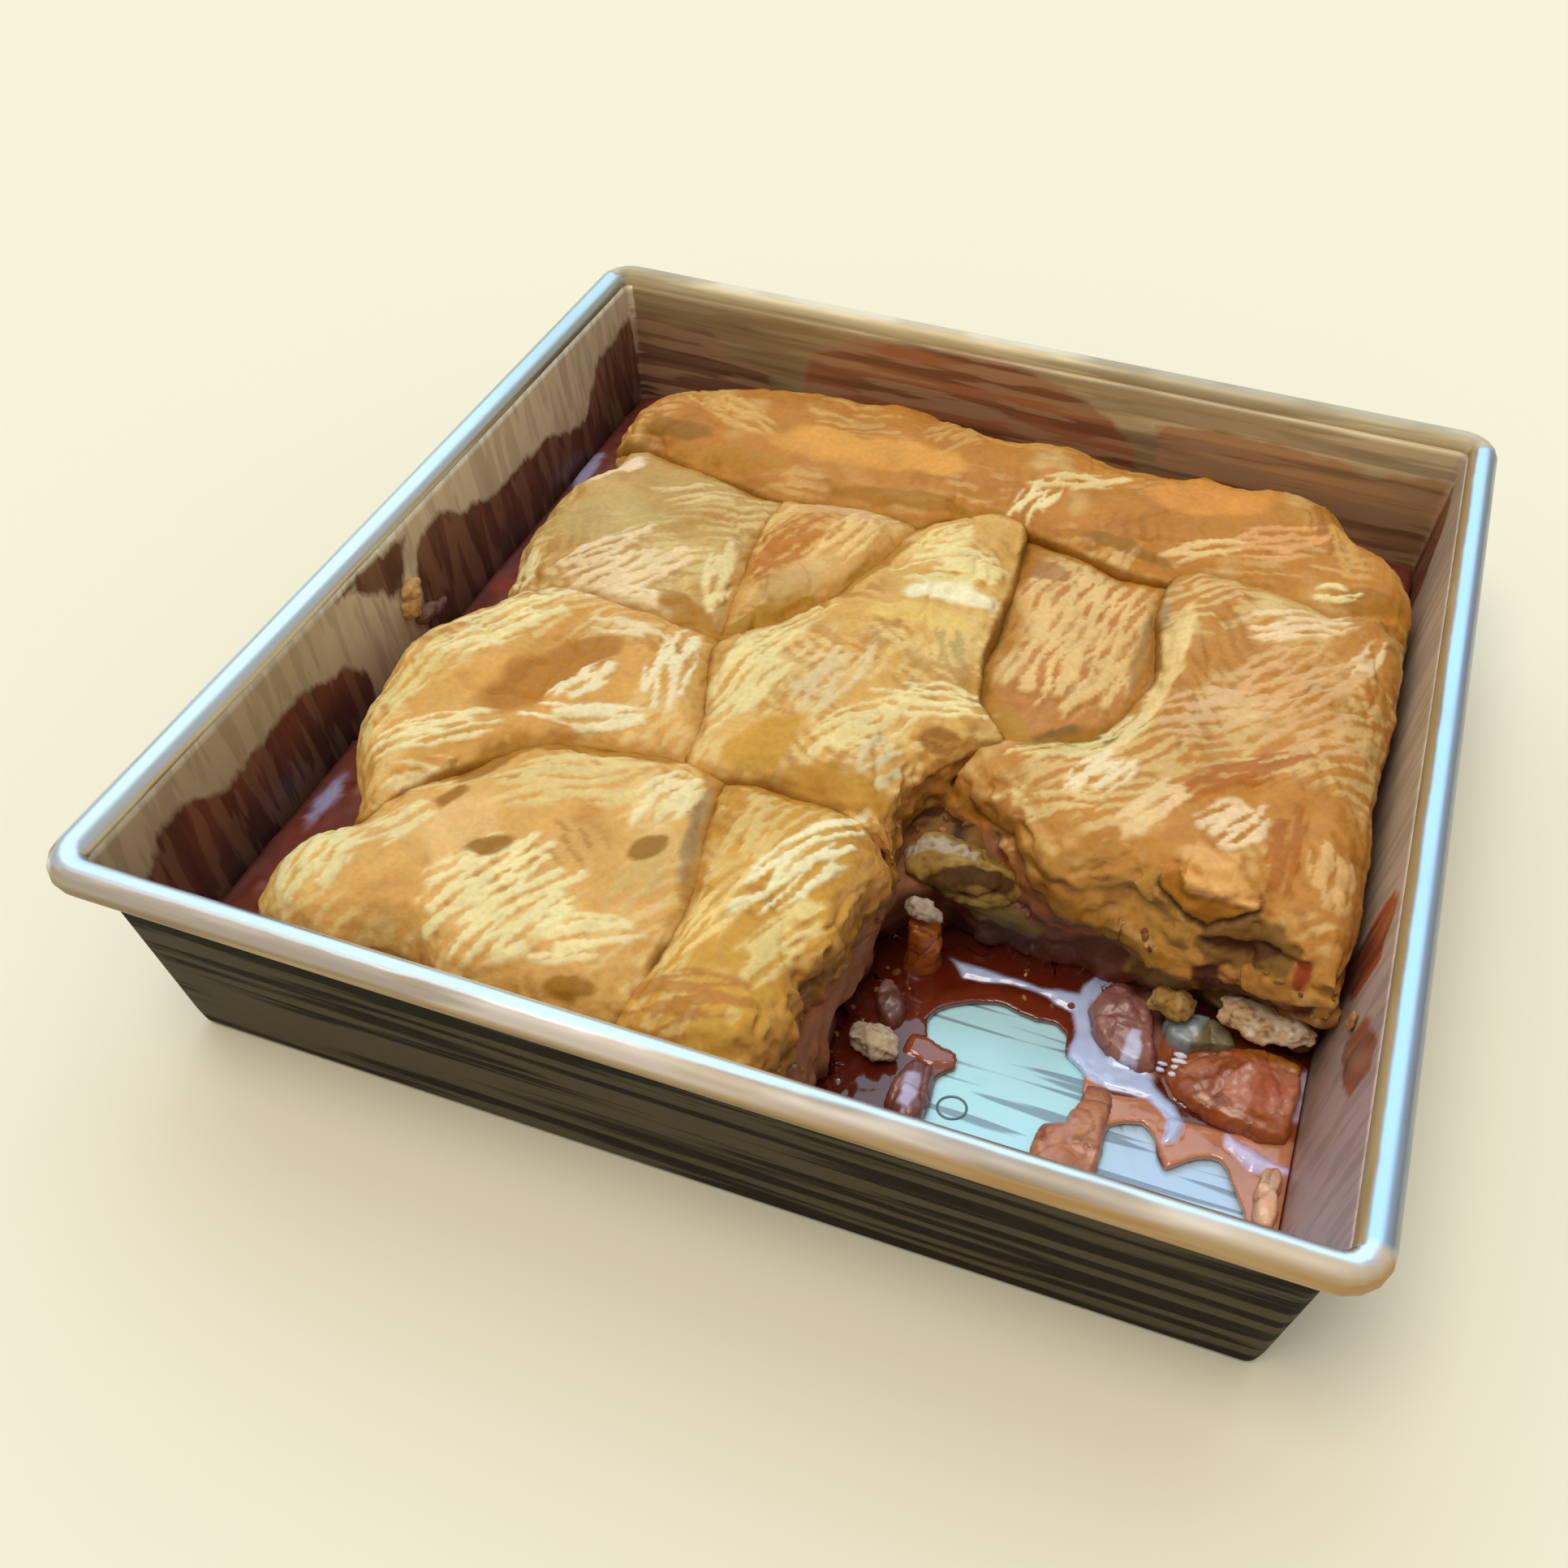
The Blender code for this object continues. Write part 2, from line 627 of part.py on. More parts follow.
# Where the spoon wiped the tin's floor bare: outlines in plan, through points in millimetres
BARE_PATCHES = (
    (
        (32, -59), (33.5, -56), (37.5, -53), (42, -51), (46, -50.2), (50, -51.2), (53.5, -51.6), (57.5, -51),
        (60.4, -53), (61.3, -58), (65.5, -60.5), (67, -66), (66.2, -75), (62.5, -77), (60.5, -82), (60, -92),
        (56, -103), (48, -105.5), (41, -102), (38.8, -92), (38.2, -80), (38.2, -72), (41.2, -69), (40, -66.2),
        (34, -64.6),
    ),
    (
        (73.8, -79), (73.8, -71.5), (76.5, -69.8), (80, -68.8), (82.6, -70.6), (84.2, -75), (86.3, -77.6),
        (88.8, -75.4), (92, -72.8), (96.5, -72), (99.4, -76.5), (103, -83), (104.5, -92), (101, -103),
        (88, -106), (77, -103), (74, -91),
    ),
)


def build_pool():
    """Syrup that ran out over the floor of the hollow, in a sheet with ragged bays where it is bare."""
    hub = mm(66, -76)
    low = SHEET + GAP

    def inside(points):
        half = inside_half(low) - GAP - 1.4 * MM
        wall = -box_distance(points, np.zeros(2), (half, half), TIN_CORNER)
        nearest = np.maximum(filling_inside(points, low), filling_inside(points, POOL_TOP))
        return np.minimum(wall, -nearest - 2.4 * MM)

    angles = even_angles(inside, hub, 0.0, 72)
    outline = fan(hub, 0.0, angles, reach_of(inside, hub, 0.0, angles))
    body = bmesh.new()
    skin(body, [with_height(outline, low), with_height(outline, POOL_TOP)])
    pool = add_object("syrup_pool", body, "syrup")
    for number, points in enumerate(BARE_PATCHES):
        edge = curve_through((*points, points[0]), 2.5 * MM)[:-1]
        cut = bmesh.new()
        skin(cut, [with_height(edge, low - 2 * MM), with_height(edge, POOL_TOP + 2 * MM)])
        cutter = add_object(f"bare_patch_{number}", cut, "syrup")
        cutter.hide_render = True
        cutter.display_type = "WIRE"
        trim = pool.modifiers.new(cutter.name, "BOOLEAN")
        trim.operation = "DIFFERENCE"
        trim.solver = "EXACT"
        trim.object = cutter


def build_slice(piece):
    """A peach slice: upright sides, a rounded rim, and an uneven top that falls away from its crest."""
    edge = curve_through((*piece.outline, piece.outline[0]), SLICE_STEP)[:-1]
    x, y, height = (length * MM for length in piece.crest)
    spread = edge - (x, y)
    foot = POOL_TOP + GAP

    def top_ring(share):
        ring = (x, y) + share * spread
        fallen = piece.fall * np.linalg.norm(share * spread, axis=1)
        return with_height(ring, height - fallen + lumps(ring, SLICE_LUMP, 5 * MM, height / MM))

    rim = top_ring(1.0)
    belly = [(px, py, foot + 0.55 * (pz - foot)) for px, py, pz in rim]
    rings = [with_height((x, y) + 0.94 * spread, foot), belly]
    rings += [top_ring(share) for share in (0.92, 0.68, 0.34)]
    body = bmesh.new()
    skin(body, rings, (x, y, foot), (x, y, height))
    add_object(piece.name, body, "peach")


def build_fragment(piece):
    """A craggy lump of crust, lying on its flatter side."""
    body = bmesh.new()
    bmesh.ops.create_icosphere(body, subdivisions=3, radius=1.0)
    turn = Euler((0, 0, math.radians(piece.turn))).to_matrix()
    for vert in body.verts:
        ragged = 1 + 0.30 * noise.noise(vert.co * 1.7 + Vector((piece.seed, 0, 0)))
        local = Vector([ragged * c * h for c, h in zip(vert.co, piece.half)])
        local.z = max(local.z, -0.72 * piece.half[2])
        vert.co = turn @ local + Vector(piece.place)
    add_object(piece.name, body, "crust")


def main():
    """Builds the cobbler from the tin up."""
    clear_scene()
    build_tin()
    build_filling()
    build_pool()
    for dough in DOUGH:
        build_dough(dough)
    for piece in SLICES:
        build_slice(piece)
    for piece in FRAGMENTS:
        build_fragment(piece)


main()
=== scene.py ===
"""A peach cobbler in its square baking tin, dressed for a studio picture.

Lengths in this file are in millimetres until a mesh is written, which is in metres. The open corner of the
cobbler is at +X and -Y, and the camera looks from the front, a little from the right.
"""

import json
import logging
import math
from dataclasses import dataclass, field
from enum import Enum
from functools import partial

import bmesh
import bpy
import numpy as np
from mathutils import Euler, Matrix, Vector
from mathutils.bvhtree import BVHTree

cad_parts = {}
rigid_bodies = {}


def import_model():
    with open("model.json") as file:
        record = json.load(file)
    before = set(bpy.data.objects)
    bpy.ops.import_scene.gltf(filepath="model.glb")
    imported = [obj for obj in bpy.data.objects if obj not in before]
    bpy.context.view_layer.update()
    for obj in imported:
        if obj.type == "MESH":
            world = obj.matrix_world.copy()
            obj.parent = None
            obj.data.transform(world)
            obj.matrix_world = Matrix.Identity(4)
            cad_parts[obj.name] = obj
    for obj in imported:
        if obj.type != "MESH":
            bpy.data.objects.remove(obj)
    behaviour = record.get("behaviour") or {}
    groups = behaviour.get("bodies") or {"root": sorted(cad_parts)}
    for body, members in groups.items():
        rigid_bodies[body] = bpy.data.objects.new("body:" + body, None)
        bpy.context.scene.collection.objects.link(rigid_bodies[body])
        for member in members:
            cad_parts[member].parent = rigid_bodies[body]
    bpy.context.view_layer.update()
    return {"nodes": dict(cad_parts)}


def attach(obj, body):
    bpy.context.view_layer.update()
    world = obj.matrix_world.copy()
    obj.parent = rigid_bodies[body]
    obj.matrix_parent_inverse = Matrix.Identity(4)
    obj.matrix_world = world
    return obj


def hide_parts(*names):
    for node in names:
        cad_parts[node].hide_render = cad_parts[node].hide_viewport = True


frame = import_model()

MM = 0.001
LOG = logging.getLogger("cobbler")

Array = np.ndarray
Colour = tuple[float, float, float, float]

# Node types and settings that come back often
ATTRIBUTE = "ShaderNodeAttribute"
MATHS = "ShaderNodeMath"
MIX = "ShaderNodeMix"
NOISE = "ShaderNodeTexNoise"
RANGE = "ShaderNodeMapRange"
PLUS = {"operation": "ADD"}
LESS = {"operation": "SUBTRACT"}
TIMES = {"operation": "MULTIPLY"}
IN_COLOUR = {"data_type": "RGBA", "take": 2}

# Colours


def linear(code: str) -> Colour:
    """Turns an sRGB hex code into a linear colour.

    Args:
        code: six hex digits after a hash.

    Returns:
        Red, green and blue from 0 to 1, and full alpha.
    """
    parts = [int(code[i : i + 2], 16) / 255 for i in (1, 3, 5)]
    parts = [p / 12.92 if p <= 0.04045 else ((p + 0.055) / 1.055) ** 2.4 for p in parts]
    return (*parts, 1.0)


def plain(code: str, points: Array) -> Array:
    """One colour for every point."""
    return np.tile(linear(code)[:3], (len(points), 1))


def paint(under: Array, *layers: tuple[str, Array]) -> Array:
    """Lays colours over others in turn.

    Args:
        under: a linear colour for each point.
        layers: a hex code and its weight at each point, from 0 to 1.

    Returns:
        The colours that then show.
    """
    for code, weight in layers:
        under = under + (linear(code)[:3] - under) * np.clip(weight * 1.0, 0, 1)[:, None]
    return under


# Nodes and materials


def feed(node: bpy.types.Node, inputs: dict | tuple) -> None:
    """Sets a node's inputs.

    Args:
        node: the node.
        inputs: values or the sockets that feed them, by the inputs' names or numbers, or in their order.
    """
    for key, value in inputs.items() if isinstance(inputs, dict) else enumerate(inputs):
        if isinstance(value, bpy.types.NodeSocket):
            node.id_data.links.new(value, node.inputs[key])
        else:
            node.inputs[key].default_value = value


def add_node(
    tree: bpy.types.NodeTree, kind: str, inputs: dict | tuple = (), take: int | str = 0, **settings
) -> bpy.types.NodeSocket | None:
    """Adds a node to a tree.

    Args:
        tree: the node tree.
        kind: the node's type name.
        inputs: its inputs, as feed takes them.
        take: the name or number of the output that is wanted.
        settings: the node's own properties.

    Returns:
        That output, or None where the node has no outputs.
    """
    node = tree.nodes.new(kind)
    for name, value in settings.items():
        setattr(node, name, value)
    feed(node, inputs)
    return node.outputs[take] if len(node.outputs) else None


def new_material(name: str) -> tuple[bpy.types.Material, bpy.types.Node]:
    """Makes a material.

    Args:
        name: its name.

    Returns:
        The material and its shader.
    """
    made = bpy.data.materials.new(name)
    made.use_nodes = True
    return made, made.node_tree.nodes["Principled BSDF"]


def new_group(name: str, sizes: dict) -> tuple[bpy.types.NodeTree, bpy.types.bpy_prop_collection]:
    """Starts a Geometry Nodes tree.

    Args:
        name: the tree's name.
        sizes: the values that it is run with, by their inputs' names; whole ones are int.

    Returns:
        The tree, and the sockets of its inputs.
    """
    tree = bpy.data.node_groups.new(name, "GeometryNodeTree")
    tree.interface.new_socket("Geometry", in_out="INPUT", socket_type="NodeSocketGeometry")
    for key, value in sizes.items():
        kind = "NodeSocketInt" if isinstance(value, int) else "NodeSocketFloat"
        tree.interface.new_socket(key, in_out="INPUT", socket_type=kind)
    tree.interface.new_socket("Geometry", in_out="OUTPUT", socket_type="NodeSocketGeometry")
    return tree, tree.nodes.new("NodeGroupInput").outputs


def end_group(tree: bpy.types.NodeTree, geometry: bpy.types.NodeSocket) -> None:
    """Ends a Geometry Nodes tree in one plain mesh with a material.

    Args:
        tree: the tree.
        geometry: what it has made.
    """
    real = add_node(tree, "GeometryNodeRealizeInstances", {"Geometry": geometry})
    painted = add_node(tree, "GeometryNodeSetMaterial", {"Geometry": real})
    add_node(tree, "NodeGroupOutput", {"Geometry": painted})


# Noise that gives the same numbers in every run. Each use has a seed of its own

CELL_PRIMES = (73856093, 19349663, 83492791)
SEED_PRIME = 2654435761
MIXERS = ((16, 2246822519), (13, 3266489917))
WORD = 2**32

# Added to the numbers of cells, to keep them above zero
CELL_SHIFT = 4096


def cell_random(cells: Array, seed: int) -> Array:
    """A repeatable random number for each cell of a grid.

    Args:
        cells: the cells' whole-numbered places in space.
        seed: picks one of many draws.

    Returns:
        A number from 0 to 1 for each.
    """
    mixed = np.uint64(seed * SEED_PRIME % WORD)
    for axis, prime in enumerate(CELL_PRIMES):
        mixed = mixed ^ cells[..., axis].astype(np.uint64) * np.uint64(prime)
    for shift, factor in MIXERS:
        mixed = ((mixed ^ (mixed >> np.uint64(shift))) * np.uint64(factor)) & np.uint64(WORD - 1)
    return (mixed ^ (mixed >> np.uint64(16))).astype(float) / WORD


def value_noise(points: Array, seed: int) -> Array:
    """Smooth noise with lumps about one unit across.

    Args:
        points: the points in space.
        seed: picks one of many noises.

    Returns:
        A number from -1 to 1 for each point.
    """
    base = np.floor(points)
    share = points - base
    share = share * share * (3 - 2 * share)
    base = base.astype(np.int64) + CELL_SHIFT
    total = np.zeros(len(points))
    for corner in np.ndindex(2, 2, 2):
        weight = np.prod(np.where(np.array(corner), share, 1 - share), axis=1)
        total += weight * cell_random(base + np.array(corner), seed)
    return total * 2 - 1


def rough_noise(points: Array, seed: int, octaves: int = 3) -> Array:
    """Noise with finer noise on it.

    Args:
        points: the points in space.
        seed: picks one of many noises.
        octaves: how many noises it sums, each half as large and half as strong.

    Returns:
        A number from about -1 to 1 for each point.
    """
    total = sum(value_noise(points * 2**octave, seed + octave) * 0.5**octave for octave in range(octaves))
    return total / 1.5


def cell_distances(points: Array, seed: int) -> tuple[Array, Array, Array]:
    """Finds the nearest of scattered centres, one in each unit cell.

    Args:
        points: the points in space.
        seed: picks one of many scatters.

    Returns:
        The distances to the nearest and the second nearest centre, and the nearest one's random number.
    """
    base = np.floor(points).astype(np.int64)
    first = np.full(len(points), np.inf)
    second = first
    mark = np.zeros(len(points))
    for step in np.ndindex(3, 3, 3):
        cell = base + np.array(step) - 1
        centre = np.stack([cell_random(cell + CELL_SHIFT, seed + k) for k in range(3)], axis=1)
        away = np.linalg.norm(cell + centre - points, axis=1)
        nearer = away < first
        second = np.where(nearer, first, np.minimum(second, away))
        mark = np.where(nearer, centre[:, 0], mark)
        first = np.where(nearer, away, first)
    return first, second, mark


def warped(points: Array, size: float, reach: float, seed: int) -> Array:
    """Points pushed about by noise, in lumps of a size and as far as a reach."""
    return points + reach * np.stack([value_noise(points / size, seed + k) for k in range(3)], axis=1)


# Shapes


def fade(value: Array, start: float, end: float) -> Array:
    """A smooth step from 0 at start to 1 at end; end may be the lower."""
    share = np.clip((value - start) / (end - start), 0, 1)
    return share * share * (3 - 2 * share)


def turned(points: Array, degrees: float) -> tuple[Array, Array]:
    """Measures points along a bearing in plan.

    Args:
        points: the points.
        degrees: the bearing from +X.

    Returns:
        How far each lies along it and across it.
    """
    angle = math.radians(degrees)
    ahead = (math.cos(angle), math.sin(angle))
    return points[:, :2] @ ahead, points[:, :2] @ (-ahead[1], ahead[0])


def outline_distance(points: Array, outline: tuple) -> Array:
    """Distance from a closed outline.

    Args:
        points: points on the outline's plane.
        outline: its corners.

    Returns:
        Each point's distance, negative inside the outline.
    """
    corners = np.array(outline, float)
    nearest = np.full(len(points), np.inf)
    inside = np.zeros(len(points), bool)
    for a, b in zip(corners, np.roll(corners, -1, axis=0)):
        edge = b - a
        share = np.clip((points - a) @ edge / (edge @ edge), 0, 1)
        nearest = np.minimum(nearest, np.linalg.norm(points - a - share[:, None] * edge, axis=1))
        crosses = (a[1] > points[:, 1]) != (b[1] > points[:, 1])
        rise = np.where(b[1] == a[1], 1e-9, b[1] - a[1])
        inside ^= crosses & (points[:, 0] < a[0] + (points[:, 1] - a[1]) / rise * edge[0])
    return np.where(inside, -nearest, nearest)


@dataclass(frozen=True)
class Zone:
    """An area of another colour on a surface: how far it stands above the rest, and its outline."""

    tone: str
    rise: float
    outline: tuple

    def cover(self, places: Array, wander: Array, soft: float) -> Array:
        """How strongly it covers places on its plane, with an edge that wanders and is this soft."""
        return fade(outline_distance(places, self.outline) + wander, soft, -soft)


# Meshes


def read_points(mesh: bpy.types.Mesh) -> Array:
    """Reads a mesh's vertices.

    Args:
        mesh: the mesh.

    Returns:
        Their places in millimetres.
    """
    flat = np.empty(len(mesh.vertices) * 3)
    mesh.vertices.foreach_get("co", flat)
    return flat.reshape(-1, 3) / MM


def read_normals(mesh: bpy.types.Mesh) -> Array:
    """Reads a mesh's vertex normals.

    Args:
        mesh: the mesh.

    Returns:
        A direction of length one for each vertex.
    """
    flat = np.empty(len(mesh.vertices) * 3)
    mesh.vertex_normals.foreach_get("vector", flat)
    return flat.reshape(-1, 3)


def write_points(mesh: bpy.types.Mesh, points: Array) -> None:
    """Puts a mesh's vertices at points given in millimetres."""
    mesh.vertices.foreach_set("co", (points * MM).ravel())
    mesh.update()


def store(mesh: bpy.types.Mesh, **values: Array) -> None:
    """Stores attributes on a mesh.

    Args:
        mesh: the mesh.
        values: for each attribute's name, a number or a linear colour for each vertex.
    """
    for name, value in values.items():
        kind, part = ("FLOAT", "value") if value.ndim == 1 else ("FLOAT_COLOR", "color")
        if value.ndim > 1:
            value = np.concatenate([value, np.ones((len(value), 1))], axis=1)
        layer = mesh.attributes.new(name, kind, "POINT")
        layer.data.foreach_set(part, value.astype(np.float32).ravel())


def put(name: str, data: bpy.types.ID) -> bpy.types.Object:
    """Puts a new object in the scene.

    Args:
        name: its name.
        data: its mesh, light or camera.

    Returns:
        The object.
    """
    made = bpy.data.objects.new(name, data)
    bpy.context.scene.collection.objects.link(made)
    return made


def object_from(name: str, body: bmesh.types.BMesh) -> bpy.types.Object:
    """Makes a smooth-shaded object, with its faces turned outwards.

    Args:
        name: the object's name.
        body: its shape in metres, which is used up.

    Returns:
        The new object.
    """
    bmesh.ops.recalc_face_normals(body, faces=body.faces)
    mesh = bpy.data.meshes.new(name)
    body.to_mesh(mesh)
    body.free()
    mesh.shade_smooth()
    return put(name, mesh)


def join_loops(body: bmesh.types.BMesh, loops: list) -> None:
    """Puts faces between each loop of vertices and the next.

    Args:
        body: the shape that gets them.
        loops: closed loops of equally many vertices.
    """
    for low, high in zip(loops, loops[1:]):
        for here, there in zip(range(len(low)), (*range(1, len(low)), 0)):
            body.faces.new((low[here], low[there], high[there], high[here]))


def settle(made: bpy.types.Object) -> None:
    """Turns what an object's modifiers give into its own plain mesh.

    Args:
        made: the object.
    """
    bpy.context.view_layer.update()
    shaped = bpy.data.meshes.new_from_object(made.evaluated_get(bpy.context.evaluated_depsgraph_get()))
    made.modifiers.clear()
    made.data = shaped
    made.data.shade_smooth()


def run_nodes(made: bpy.types.Object, tree: bpy.types.NodeTree, values: dict) -> None:
    """Runs a Geometry Nodes tree on an object and keeps what it gives.

    Args:
        made: the object.
        tree: the tree.
        values: the values of its inputs, by name.
    """
    modifier = made.modifiers.new(tree.name, "NODES")
    modifier.node_group = tree
    for item in tree.interface.items_tree:
        if item.item_type == "SOCKET" and item.name in values:
            modifier[item.identifier] = values[item.name]
    settle(made)


def fine_copy(node: str, name: str, voxel: float, smoothing: int) -> tuple[bpy.types.Object, Array, Array]:
    """A finely meshed copy of a CAD node.

    Args:
        node: the CAD node.
        name: the new object's name.
        voxel: the new mesh's spacing in millimetres.
        smoothing: how many times it is smoothed.

    Returns:
        The new object, its vertices in millimetres and their normals.
    """
    body = bmesh.new()
    body.from_mesh(frame["nodes"][node].data)
    bmesh.ops.remove_doubles(body, verts=body.verts, dist=0.01 * MM)
    made = object_from(name, body)
    remesh = made.modifiers.new("remesh", "REMESH")
    remesh.mode = "VOXEL"
    remesh.voxel_size = voxel * MM
    smooth = made.modifiers.new("smooth", "SMOOTH")
    smooth.factor = 0.5
    smooth.iterations = smoothing
    settle(made)
    return made, read_points(made.data), read_normals(made.data)


def finish_piece(piece: bpy.types.Object, slot: str, material: bpy.types.Material, *nodes: str) -> None:
    """Gives a piece its material, ties it to the body and reports it.

    Args:
        piece: the finished piece.
        slot: the record's material slot; not used.
        material: its material.
        nodes: the CAD nodes that it stands for, if any.
    """
    piece.data.materials.clear()
    piece.data.materials.append(material)
    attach(piece, "root")
    if nodes:
        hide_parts(*nodes)
    LOG.info("%s: %d faces", piece.name, len(piece.data.polygons))


# Finishes

# The tin's own attributes, as numbers and as colours
TIN_NUMBERS = ("film", "stain", "floor", "outside", "upright")
TIN_COLOURS = ("film_tone", "steel_tone", "stain_tone")

# The tin's patterns: the size of their marks in millimetres along x, y and z, and how fine their
# detail is. Level ones are for the front and back walls, where streaks run level; upright ones for
# the side walls
TIN_PATTERNS = {
    "mottle": ((12.5, 12.5, 12.5), 4.0),
    "level streak": ((90.9, 90.9, 4.0), 3.0),
    "upright streak": ((3.03, 3.03, 38.5), 3.0),
    "level line": ((38.5, 38.5, 3.33), 2.0),
    "upright line": ((3.85, 3.85, 29.4), 2.0),
    "scratch": ((41.7, 2.5, 41.7), 1.0),
}


@dataclass(frozen=True)
class AgedSteelFinish:
    """Aluminised steel after years of baking: silvery where it is wiped, browned by films of baked fat.

    Bare steel gives soft silvery reflections; the film gives a tan, half-matt skin brushed into
    streaks; baked syrup a dark glossy one.
    """

    name: str = "aged_aluminised_steel"
    roughness: float = 0.27
    film_roughness: float = 0.48
    stain_roughness: float = 0.3
    specular: float = 0.5

    def material(self) -> bpy.types.Material:
        """The finish as a material, led by the mesh's own attributes."""
        made, shader = new_material(self.name)
        add = partial(add_node, made.node_tree)
        place = add("ShaderNodeTexCoord", take="Object")
        own = {name: add(ATTRIBUTE, take="Fac", attribute_name=name) for name in TIN_NUMBERS}
        own |= {name: add(ATTRIBUTE, take="Color", attribute_name=name) for name in TIN_COLOURS}
        noise = {}
        for name, (size, detail) in TIN_PATTERNS.items():
            spread = add("ShaderNodeMapping", {"Vector": place, "Scale": [1 / (side * MM) for side in size]})
            noise[name] = add(NOISE, {"Vector": spread, "Scale": 1.0, "Detail": detail})
        floor, outside, upright = own["floor"], own["outside"], own["upright"]
        streak = add(MIX, {0: upright, 2: noise["level streak"], 3: noise["upright streak"]})
        line = add(MIX, {0: upright, 2: noise["level line"], 3: noise["upright line"]})

        # The film, with its edge broken up
        ragged = add(RANGE, (noise["mottle"], 0.35, 0.65, -0.12, 0.12))
        film = add(RANGE, (add(MATHS, (own["film"], ragged), **PLUS), 0.1, 0.75, 0.0, 1.0))

        # Pale lines on the inner walls, and dark streaks on all the walls
        walls = add(MATHS, (add(MATHS, (1.0, outside), **LESS), floor), **LESS)
        paleness = add(MATHS, (add(MIX, {0: upright, 2: 0.5, 3: 0.22}), walls), **TIMES)
        pale = add(MATHS, (add(RANGE, (line, 0.5, 0.58, 0.0, 1.0)), paleness), **TIMES)
        tone = add(MIX, {0: pale, 6: own["film_tone"], 7: linear("#bda67c")}, **IN_COLOUR)
        inner = add(MIX, {0: upright, 2: 0.4, 3: 0.22})
        darkness = add(MIX, {0: floor, 2: add(MIX, {0: outside, 2: inner, 3: 0.9}), 3: 0.0})
        dark = add(MATHS, (add(RANGE, (streak, 0.49, 0.56, 0.0, 1.0)), darkness), **TIMES)
        soot = add(MIX, {0: outside, 6: linear("#5f4f36"), 7: linear("#17140d")}, **IN_COLOUR)
        tone = add(MIX, {0: dark, 6: tone, 7: soot}, **IN_COLOUR)

        # Knife marks on the bare floor
        scratch = add(MATHS, (floor, add(RANGE, (noise["scratch"], 0.55, 0.6, 0.0, 0.75))), **TIMES)
        steel = add(MIX, {0: scratch, 6: own["steel_tone"], 7: linear("#76899c")}, **IN_COLOUR)
        colour = add(MIX, {0: film, 6: steel, 7: tone}, **IN_COLOUR)

        # Stains, streaked like the film under them
        edge = add(MATHS, (own["stain"], add(RANGE, (streak, 0.35, 0.65, -0.8, 0.8))), **PLUS)
        edge = add(MATHS, (edge, add(RANGE, (noise["mottle"], 0.35, 0.65, -0.9, 0.9))), **PLUS)
        stain = add(RANGE, (edge, 0.7, -0.9, 0.0, 0.96))
        dark = add(RANGE, (streak, 0.45, 0.58, 0.0, 0.5))
        tone = add(MIX, {0: dark, 6: own["stain_tone"], 7: linear("#351a14")}, **IN_COLOUR)
        paleness = add(MIX, {0: upright, 2: 0.72, 3: 0.25})
        pale = add(MATHS, (add(RANGE, (line, 0.49, 0.54, 0.0, 1.0)), paleness), **TIMES)
        tone = add(MIX, {0: pale, 6: tone, 7: linear("#b08c6a")}, **IN_COLOUR)
        colour = add(MIX, {0: stain, 6: colour, 7: tone}, **IN_COLOUR)

        # The bare floor is nearly matt, so its pale cyan steel tone reads as a painted reflection of the sky
        bare_metal = add(MIX, {0: floor, 2: 0.92, 3: 0.08})
        film_metal = add(MIX, {0: outside, 2: 0.2, 3: 0.0})
        metal = add(MIX, {0: film, 2: bare_metal, 3: film_metal})
        metal = add(MATHS, (metal, add(MATHS, (1.0, stain), **LESS)), **TIMES)
        rough = add(MIX, {0: film, 2: self.roughness, 3: self.film_roughness})
        rough = add(MATHS, (rough, add(RANGE, (noise["mottle"], 0.3, 0.7, -0.05, 0.07))), **PLUS)
        rough = add(MIX, {0: stain, 2: rough, 3: self.stain_roughness})
        feed(shader, {"Base Color": colour, "Metallic": metal, "Roughness": rough})
        feed(shader, {"Specular IOR Level": self.specular})
        return made


# Noise seldom leaves this range
NOISE_RANGE = (0.3, 0.7)


@dataclass(frozen=True)
class FoodFinish:
    """A food surface whose colour the mesh carries in its attribute tone, broken up by fine grain.

    grain is the size of its speckle in millimetres, contrast how strongly it shows, relief its depth, wet how
    thick the syrup or butter on it is, and bleed how much light passes under its skin.
    """

    name: str
    grain: float
    contrast: float
    roughness: float
    wet: float = 0.0
    wet_roughness: float = 0.1
    bleed: float = 0.0
    relief: float = 0.0
    specular: float = 0.5

    def material(self) -> bpy.types.Material:
        """The finish as a material."""
        made, shader = new_material(self.name)
        add = partial(add_node, made.node_tree)
        place = add("ShaderNodeTexCoord", take="Object")
        scale = 1 / (self.grain * MM)
        fine = add(NOISE, {"Vector": place, "Scale": scale, "Detail": 4.0})
        broad = add(NOISE, {"Vector": place, "Scale": scale / 7, "Detail": 3.0})
        tone = add(ATTRIBUTE, take="Color", attribute_name="tone")
        for noise, spread in ((fine, self.contrast), (broad, self.contrast * 0.8)):
            level = add(RANGE, (noise, *NOISE_RANGE, 1 - spread, 1 + spread))
            tone = add(MIX, {0: 1.0, 6: tone, 7: level}, blend_type="MULTIPLY", **IN_COLOUR)
        rough = add(RANGE, (fine, *NOISE_RANGE, self.roughness - 0.08, self.roughness + 0.08))
        feed(shader, {"Base Color": tone, "Roughness": rough, "Specular IOR Level": self.specular})
        feed(shader, {"Coat Weight": self.wet, "Coat Roughness": self.wet_roughness})
        feed(shader, {"Subsurface Weight": self.bleed, "Subsurface Radius": (1.0, 0.45, 0.2)})
        feed(shader, {"Subsurface Scale": 1.5 * MM})
        if self.relief:
            bump = add("ShaderNodeBump", {"Strength": 0.6, "Distance": self.relief * MM, "Height": fine})
            feed(shader, {"Normal": bump})
        return made


